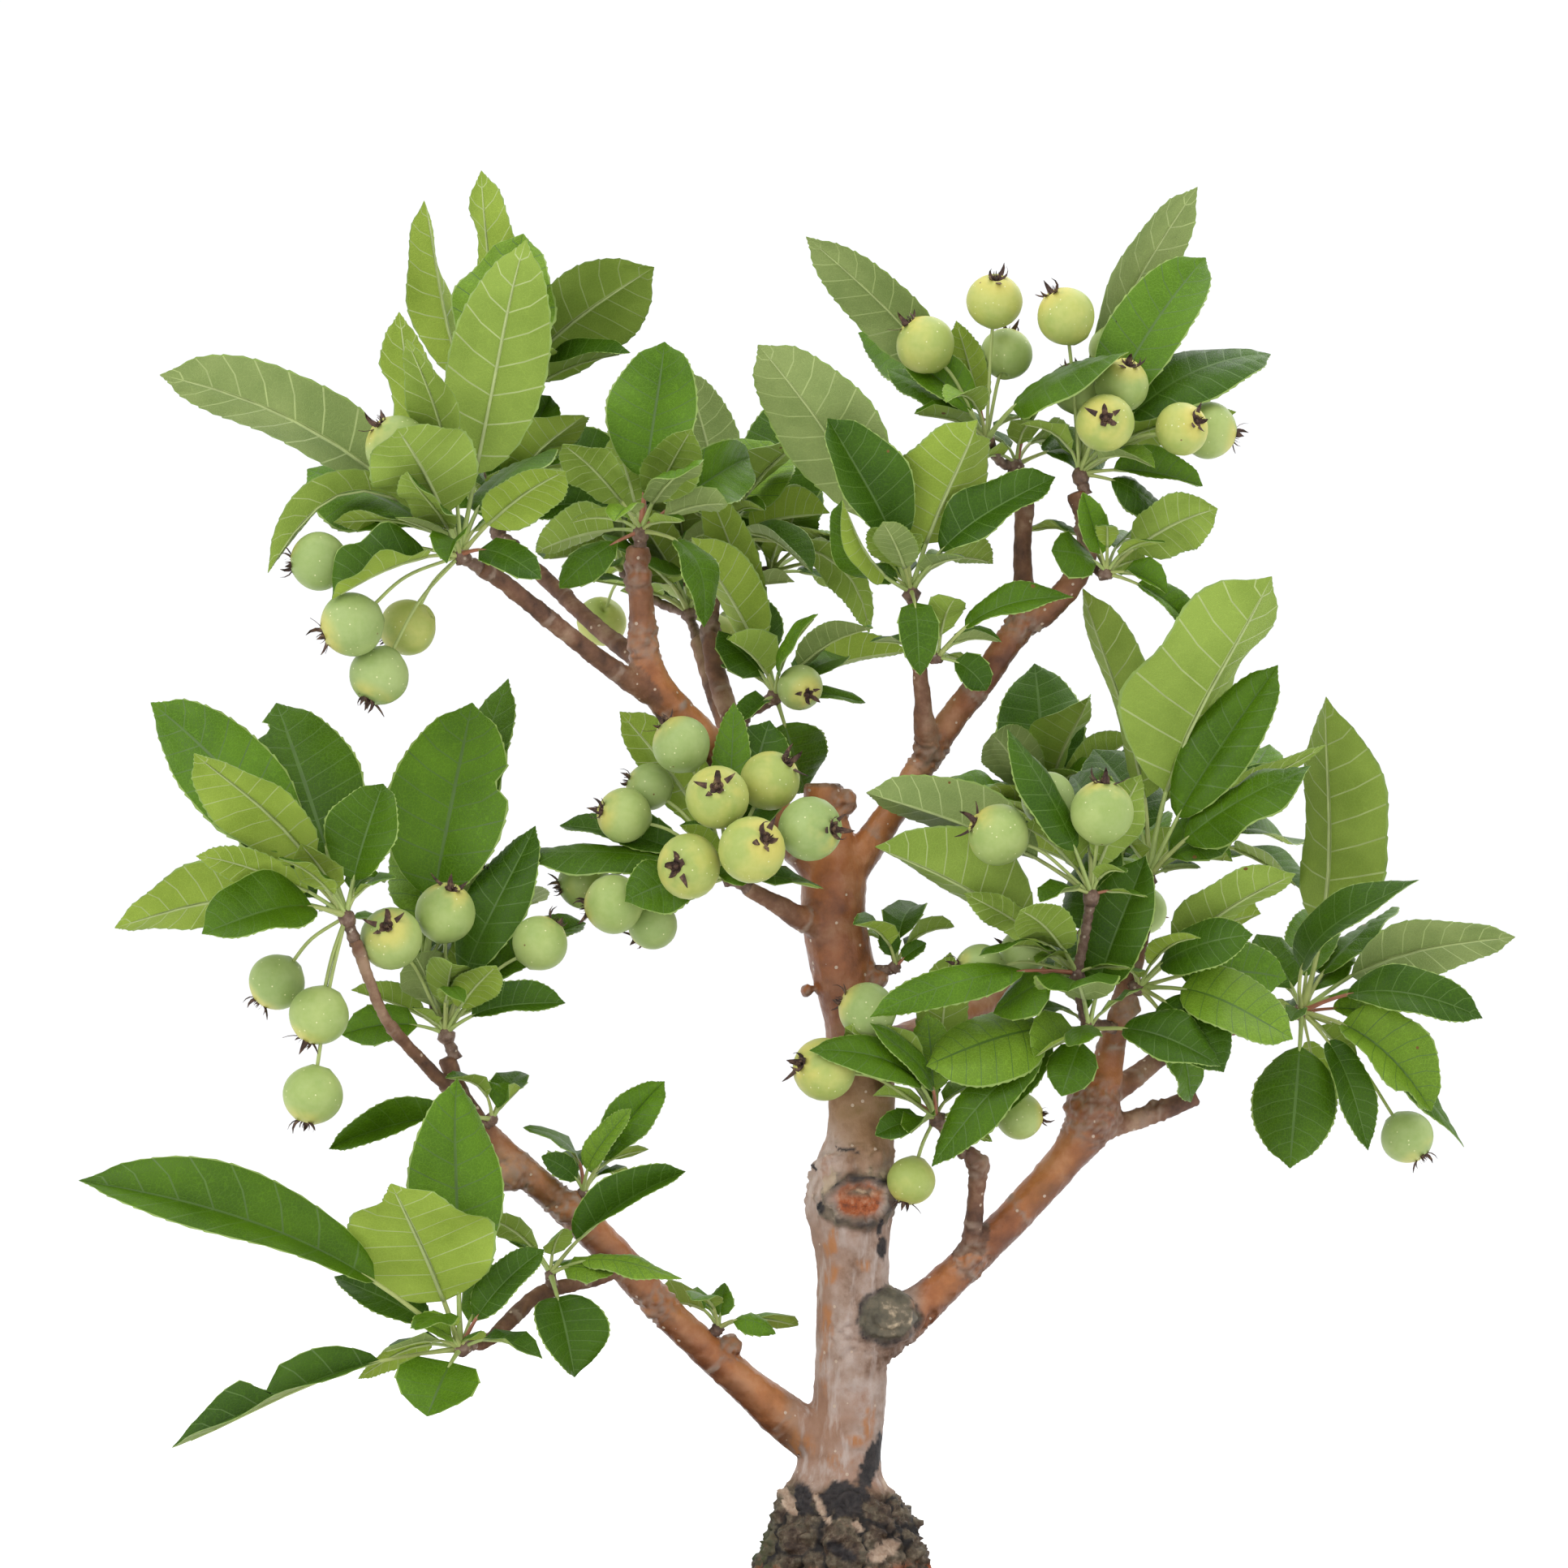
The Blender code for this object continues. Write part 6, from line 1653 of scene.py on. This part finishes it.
def blades_mesh(chosen, finishes, rng):
    """The blades as one mesh. Each takes one of the upper and one of the under greens, dealt out by leaf."""
    points, quads, tints = [], [], []
    count = 0
    for made in chosen:
        pattern = made.pattern
        points += [made.upper.reshape(-1, 3), made.lower[pattern.inside > 0]]
        quads += [pattern.upper_faces + count, pattern.under_faces + count]
        count += len(points[-1]) + len(points[-2])
        upper_tint = rng.choices(range(UPPER), (5, 6, 4, 2))[0]
        under_tint = UPPER + rng.choices(range(UNDER), (5, 4, 2))[0]
        tints.append(np.choose(pattern.kinds, (upper_tint, UPPER_VEIN, MARGIN)))
        tints.append(np.choose(pattern.kinds, (under_tint, UNDER_VEIN, MARGIN)))
    quads = np.concatenate(quads)
    mesh = bpy.data.meshes.new("blades")
    mesh.vertices.add(count)
    mesh.vertices.foreach_set("co", (np.concatenate(points) * MM).astype(np.float32).reshape(-1))
    mesh.loops.add(quads.size)
    mesh.loops.foreach_set("vertex_index", quads.reshape(-1).astype(np.int32))
    mesh.polygons.add(len(quads))
    mesh.polygons.foreach_set("loop_start", np.arange(0, quads.size, 4, dtype=np.int32))
    mesh.update(calc_edges=True)
    for material in finishes:
        mesh.materials.append(material)
    mesh.polygons.foreach_set("material_index", np.concatenate(tints).astype(np.int32))
    mesh.shade_smooth()
    mesh.set_sharp_from_angle(angle=math.radians(75))
    return mesh


def blade_finish(name, dark, light, roughness, coat, relief, contrast):
    made, tree, shader, place_of = finish(
        name, roughness, Specular_IOR_Level=0.17, Coat_Weight=coat, Coat_Roughness=0.35)
    cloud = noise_of(tree, place_of, 45, 3, 0.55)
    cells = wire(tree, "ShaderNodeTexVoronoi", {"Vector": place_of, "Scale": 800}, feature="DISTANCE_TO_EDGE")
    net = span_of(tree, cells.outputs["Distance"], 0.0, 0.12)
    colour = ramp(tree, cloud, (0.34, dark), (0.66, light))
    netted = mix(tree, contrast, colour, tuple(min(1, part * 2.2) for part in light))
    colour = mix(tree, net, netted, colour)
    colour = mix(tree, speckle(tree, place_of, 60, 0.045), colour, (0.16, 0.085, 0.02))
    dress(shader, colour, net, relief, 0.00015, between(tree, cloud, roughness - 0.05, roughness + 0.08))
    return made


def stalk_finish(name, colour):
    made, tree, shader, place_of = finish(name, 0.45)
    cloud = noise_of(tree, place_of, 160, 3)
    shaded = ramp(tree, cloud, (0.3, tuple(part * 0.75 for part in colour)), (0.7, colour))
    dress(shader, shaded, cloud, 0.3, 0.0002, between(tree, cloud, 0.4, 0.55))
    return made


leaf_random = random.Random(LEAF_SEED)
leaf_finishes = [
    blade_finish(f"leaf_upper_{i}", *colours, 0.42, 0.05, 0.5, 0.18)
    for i, colours in enumerate(UPPER_GREENS)]
leaf_finishes += [
    blade_finish(f"leaf_under_{i}", *colours, 0.62, 0.0, 0.4, 0.07) for i, colours in enumerate(UNDER_GREENS)]
leaf_finishes += [
    stalk_finish("vein_above", (0.076, 0.163, 0.011)), stalk_finish("vein_below", (0.4, 0.49, 0.17)),
    stalk_finish("leaf_margin", (0.26, 0.38, 0.075))]
blades = settled(leaves, finer_leaves, apples, leaf_random)
for first in range(0, len(blades), PIECE_LEAVES):
    blade_mesh = blades_mesh(blades[first:first + PIECE_LEAVES], leaf_finishes, leaf_random)
    leaf_piece = add_piece(blade_mesh, f"leaf_blades_{first // PIECE_LEAVES}", ())
    if not first:
        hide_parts(*MASSES)
dealt_stalks = [[] for _ in STALK_COLOURS]
for made_blade in blades:
    dealt_stalks[leaf_random.choices((0, 1, 2), (6, 4, 1))[0]].append(made_blade.stalk())
for index, paths in enumerate(dealt_stalks):
    stalk_name = f"leaf_stalks_{index}"
    add_tubes(paths, 1, stalk_name, stalk_finish(stalk_name, STALK_COLOURS[index]))
midribs = [made_blade.midrib() for made_blade in blades]
add_tubes(midribs, 1, "leaf_midribs", stalk_finish("midrib", (0.42, 0.5, 0.19)))


# The apples. Small unripe crab apples, pale green and yellow under a matt bloom, each on a thin stalk from
# its spur, with the dark withered sepals of its flower still on the far end.

APPLE_STEPS = 24
SEPALS = 5
SEPAL_LENGTH = 0.62  # of the apple's radius
STAMENS = 9
APPLE_TINTS = (
    ((0.26, 0.36, 0.072), (0.35, 0.44, 0.112)), ((0.32, 0.39, 0.062), (0.46, 0.47, 0.088)),
    ((0.24, 0.34, 0.078), (0.32, 0.42, 0.124)))


def apple_body():
    """A turned apple of radius 1 with its stalk's hollow below and its sepals' hollow on top."""
    profile = [(0, -0.8), (0.06, -0.83), (0.16, -0.93), (0.3, -0.985)]
    for step in range(1, 16):
        angle = -math.pi / 2 + math.pi * (0.13 + 0.75 * step / 16)
        profile.append((math.cos(angle) * (1.0 + 0.02 * math.cos(2 * angle)), math.sin(angle) * 0.985))
    profile += [(0.3, 0.955), (0.2, 0.9), (0.13, 0.84), (0.06, 0.8), (0, 0.79)]
    made = turned([(r / MM, z / MM) for r, z in profile], APPLE_STEPS, 1.0)
    crown = made.attributes.new("crown", "FLOAT", "POINT")
    crown.data.foreach_set("value", [vertex.co.z for vertex in made.vertices])
    return made


def strip(bm, angle, out, up, length, half, curl):
    """A thin curled strip that stands on the apple's end at an angle, narrowing to its tip."""
    rails = []
    ahead = Vector((math.cos(angle), math.sin(angle), 0))
    side = Vector((-math.sin(angle), math.cos(angle), 0))
    for step in range(5):
        t = step / 4
        reach = out + length * math.sin(t * curl) / curl
        rise = length * 0.9 * (1 - math.cos(t * curl)) / curl
        centre = ahead * reach + Vector((0, 0, up + rise + 0.08 * t))
        wide = side * (half * (1 - t) ** 0.7 + 0.008)
        lift = Vector((0, 0, 0.02))
        corners = (centre + wide, centre - wide, centre - wide * 0.8 + lift, centre + wide * 0.8 + lift)
        rails.append([bm.verts.new(corner) for corner in corners])
    for first, second in zip(rails, rails[1:]):
        for i in range(4):
            j = (i + 1) % 4
            bm.faces.new((first[i], first[j], second[j], second[i]))
    bm.faces.new(rails[0][::-1])
    bm.faces.new(rails[-1])


def sepals_mesh(rng):
    """The withered sepals: narrow curled strips round the hollow, and the dark tuft inside it."""
    bm = bmesh.new()
    for index in range(SEPALS):
        angle = 2 * math.pi * index / SEPALS + rng.uniform(-0.3, 0.3)
        strip(bm, angle, 0.1, 0.87, SEPAL_LENGTH * rng.uniform(0.6, 1.25), 0.13, rng.uniform(0.4, 2.6))
    for _ in range(STAMENS):
        strip(bm, rng.uniform(0, 6.3), 0.03, 0.88, rng.uniform(0.18, 0.36), 0.022, rng.uniform(1.6, 2.8))
    tuft = bmesh.ops.create_icosphere(bm, subdivisions=1, radius=0.12)
    for vertex in tuft["verts"]:
        vertex.co = Vector((vertex.co.x, vertex.co.y, 0.88 + vertex.co.z * 0.8))
    bmesh.ops.recalc_face_normals(bm, faces=bm.faces[:])
    return mesh_of(bm, "sepals")


def apple_skin(name, green, yellow):
    made, tree, shader, place_of = finish(name, 0.5, Specular_IOR_Level=0.35)
    crown = wire(tree, "ShaderNodeAttribute", attribute_name="crown").outputs["Fac"]
    patches = noise_of(tree, place_of, 75, 3, 0.5)
    bloom = noise_of(tree, place_of, 600, 4, 0.6)
    sunny = masked(tree, span_of(tree, crown, 0.45, 0.95), span_of(tree, patches, 0.38, 0.58))
    colour = layers(
        tree, ramp(tree, patches, (0.4, green), (0.62, yellow)),
        (masked(tree, sunny, 0.7), (0.64, 0.52, 0.08)),
        (0.16, ramp(tree, bloom, (0.3, (0.44, 0.54, 0.27)), (0.7, (0.62, 0.68, 0.42)))),
        (speckle(tree, place_of, 500, 0.13), (0.66, 0.68, 0.36)),
        (speckle(tree, place_of, 150, 0.05), (0.2, 0.13, 0.045)))
    dress(shader, colour, bloom, 0.12, 0.0002, between(tree, bloom, 0.4, 0.56))
    return made


def sepal_finish():
    made, tree, shader, place_of = finish("withered_sepal", 0.8)
    cloud = noise_of(tree, place_of, 500, 3)
    colour = ramp(
        tree, cloud, (0.35, (0.03, 0.014, 0.01)), (0.6, (0.095, 0.048, 0.03)), (0.75, (0.24, 0.16, 0.075)))
    dress(shader, colour, cloud, 0.6, 0.0003)
    return made


def named(tree, attribute, kind):
    made = wire(tree, "GeometryNodeInputNamedAttribute", {"Name": attribute}, data_type=kind)
    return next(socket for socket in made.outputs if socket.enabled)


def apple_tree():
    """Sets a shape on each point, turned to the point's axis and sized by its size, as real copies."""
    tree, start, end = new_tree(
        "set_on_points", ("Shape", "Object"), ("Finish", "Material"), ("Least Breadth", "Float"),
        ("Seed", "Int"))
    size = named(tree, "size", "FLOAT")
    info = wire(tree, "GeometryNodeObjectInfo", {"Object": start["Shape"]})
    axis = named(tree, "axis", "FLOAT_VECTOR")
    turned_to = wire(tree, "FunctionNodeAlignRotationToVector", {"Vector": axis}, axis="Z")
    turn = random_of(tree, 0.0, 6.28, start["Seed"])
    spin = wire(tree, "ShaderNodeCombineXYZ", {"Z": turn}).outputs["Vector"]
    ends = {"Rotation": turned_to.outputs["Rotation"], "Rotate By": spin}
    local = wire(tree, "FunctionNodeRotateRotation", ends, rotation_space="LOCAL").outputs["Rotation"]
    broad = maths(tree, "MULTIPLY", size, random_of(tree, start["Least Breadth"], 1.0, start["Seed"]))
    placed = wire(tree, "GeometryNodeInstanceOnPoints", {
        "Points": start["Geometry"], "Instance": info.outputs["Geometry"], "Rotation": local,
        "Scale": wire(tree, "ShaderNodeCombineXYZ", {"X": size, "Y": broad, "Z": size}).outputs["Vector"]})
    realized(tree, placed.outputs["Instances"], start["Finish"], end)
    return tree


def marked_points(rows):
    """A mesh of points with an axis and a size on each."""
    mesh = bpy.data.meshes.new("marked_points")
    mesh.from_pydata([centre * MM for centre, _, _ in rows], [], [])
    axes = mesh.attributes.new("axis", "FLOAT_VECTOR", "POINT")
    axes.data.foreach_set("vector", [part for _, axis, _ in rows for part in axis])
    sizes = mesh.attributes.new("size", "FLOAT", "POINT")
    sizes.data.foreach_set("value", [size * MM for _, _, size in rows])
    return mesh


set_on_points = apple_tree()


def add_set(rows, shape_mesh, name, material, seed, breadth):
    shape = linked("shape", shape_mesh)
    made = grown_by(marked_points(rows), set_on_points, {
        "Shape": shape, "Finish": material, "Least Breadth": breadth, "Seed": seed})
    bpy.data.objects.remove(shape, do_unlink=True)
    made.shade_smooth()
    add_piece(made, name, ())


apple_random = random.Random(LEAF_SEED + 1)
dealt_apples = [[] for _ in APPLE_TINTS]
apple_rows = []
for stalk, centre, radius in apples:
    toward = (centre - stalk[1]).normalized()
    wobble = Vector([apple_random.uniform(-0.35, 0.35) for _ in range(3)])
    row = (centre, (toward + wobble).normalized(), radius)
    apple_rows.append(row)
    dealt_apples[apple_random.choices((0, 1, 2), (5, 3, 4))[0]].append(row)
for index, rows in enumerate(dealt_apples):
    name = f"apples_{index}"
    add_set(rows, apple_body(), name, apple_skin(name, *APPLE_TINTS[index]), 3 + index, 0.94)
withered = sepal_finish()
for index in range(3):
    name = f"apple_sepals_{index}"
    add_set(apple_rows[index::3], sepals_mesh(apple_random), name, withered, 9 + index, 1.0)
apple_stalks = [smooth_path([Vector((*point, 0.62)) for point in stalk], 2.5) for stalk, _, _ in apples]
add_tubes(apple_stalks, 1, "apple_stalks", stalk_finish("apple_stalk", (0.42, 0.5, 0.16)))


# The studio. A plain white floor under white light from all round, softened by broad lights from the front
# and above as in the photograph, and a camera that is level with the crown.

FLOOR_RADIUS = 30
LIT_SPOT = (0, 0, 0.3)  # where the lights are turned to, in metres as all here
VIEW_WIDTH = 521.6  # millimetres across the picture at the trunk


def white_floor():
    bm = bmesh.new()
    bmesh.ops.create_circle(bm, cap_ends=True, segments=64, radius=FLOOR_RADIUS)
    mesh = mesh_of(bm, "floor")
    made, _, shader, _ = finish("white_paper", 0.9)
    shader.inputs["Base Color"].default_value = (0.98, 0.98, 0.98, 1)
    mesh.materials.append(made)
    sheet = linked("floor", mesh)


def soft_light(name, spot, size, power):
    """A broad square light, turned to the foot of the crown."""
    light = bpy.data.lights.new(name, "AREA")
    light.shape = "RECTANGLE"
    light.size = light.size_y = size
    light.energy = power
    made = linked(name, light)
    made.location = spot
    made.rotation_euler = (Vector(LIT_SPOT) - Vector(spot)).to_track_quat("-Z", "Y").to_euler()


white_floor()
soft_light("front_left_light", (-1.3, -1.7, 1.7), 1.6, 16)
soft_light("top_light", (0.3, 0.1, 2.0), 1.8, 12)
soft_light("back_light", (0.9, 1.2, 1.5), 1.2, 8)
world = bpy.data.worlds.new("studio")
world.use_nodes = True
sky = world.node_tree.nodes["Background"]
sky.inputs["Color"].default_value = (0.98, 0.985, 1, 1)
sky.inputs["Strength"].default_value = 1.05
bpy.context.scene.world = world
bpy.context.scene.view_settings.view_transform = "Standard"

camera_data = bpy.data.cameras.new("camera")
camera_data.sensor_width = 36
camera_data.lens = 36 * EYE_DISTANCE / VIEW_WIDTH
camera_data.clip_end = 20
camera = linked("camera", camera_data)
camera.location = ((FOOT_ACROSS + EYE_ACROSS) * MM, -EYE_DISTANCE * MM, (SOIL_TOP + EYE_HEIGHT) * MM)
camera.rotation_euler = (math.pi / 2, 0, 0)
bpy.context.scene.camera = camera
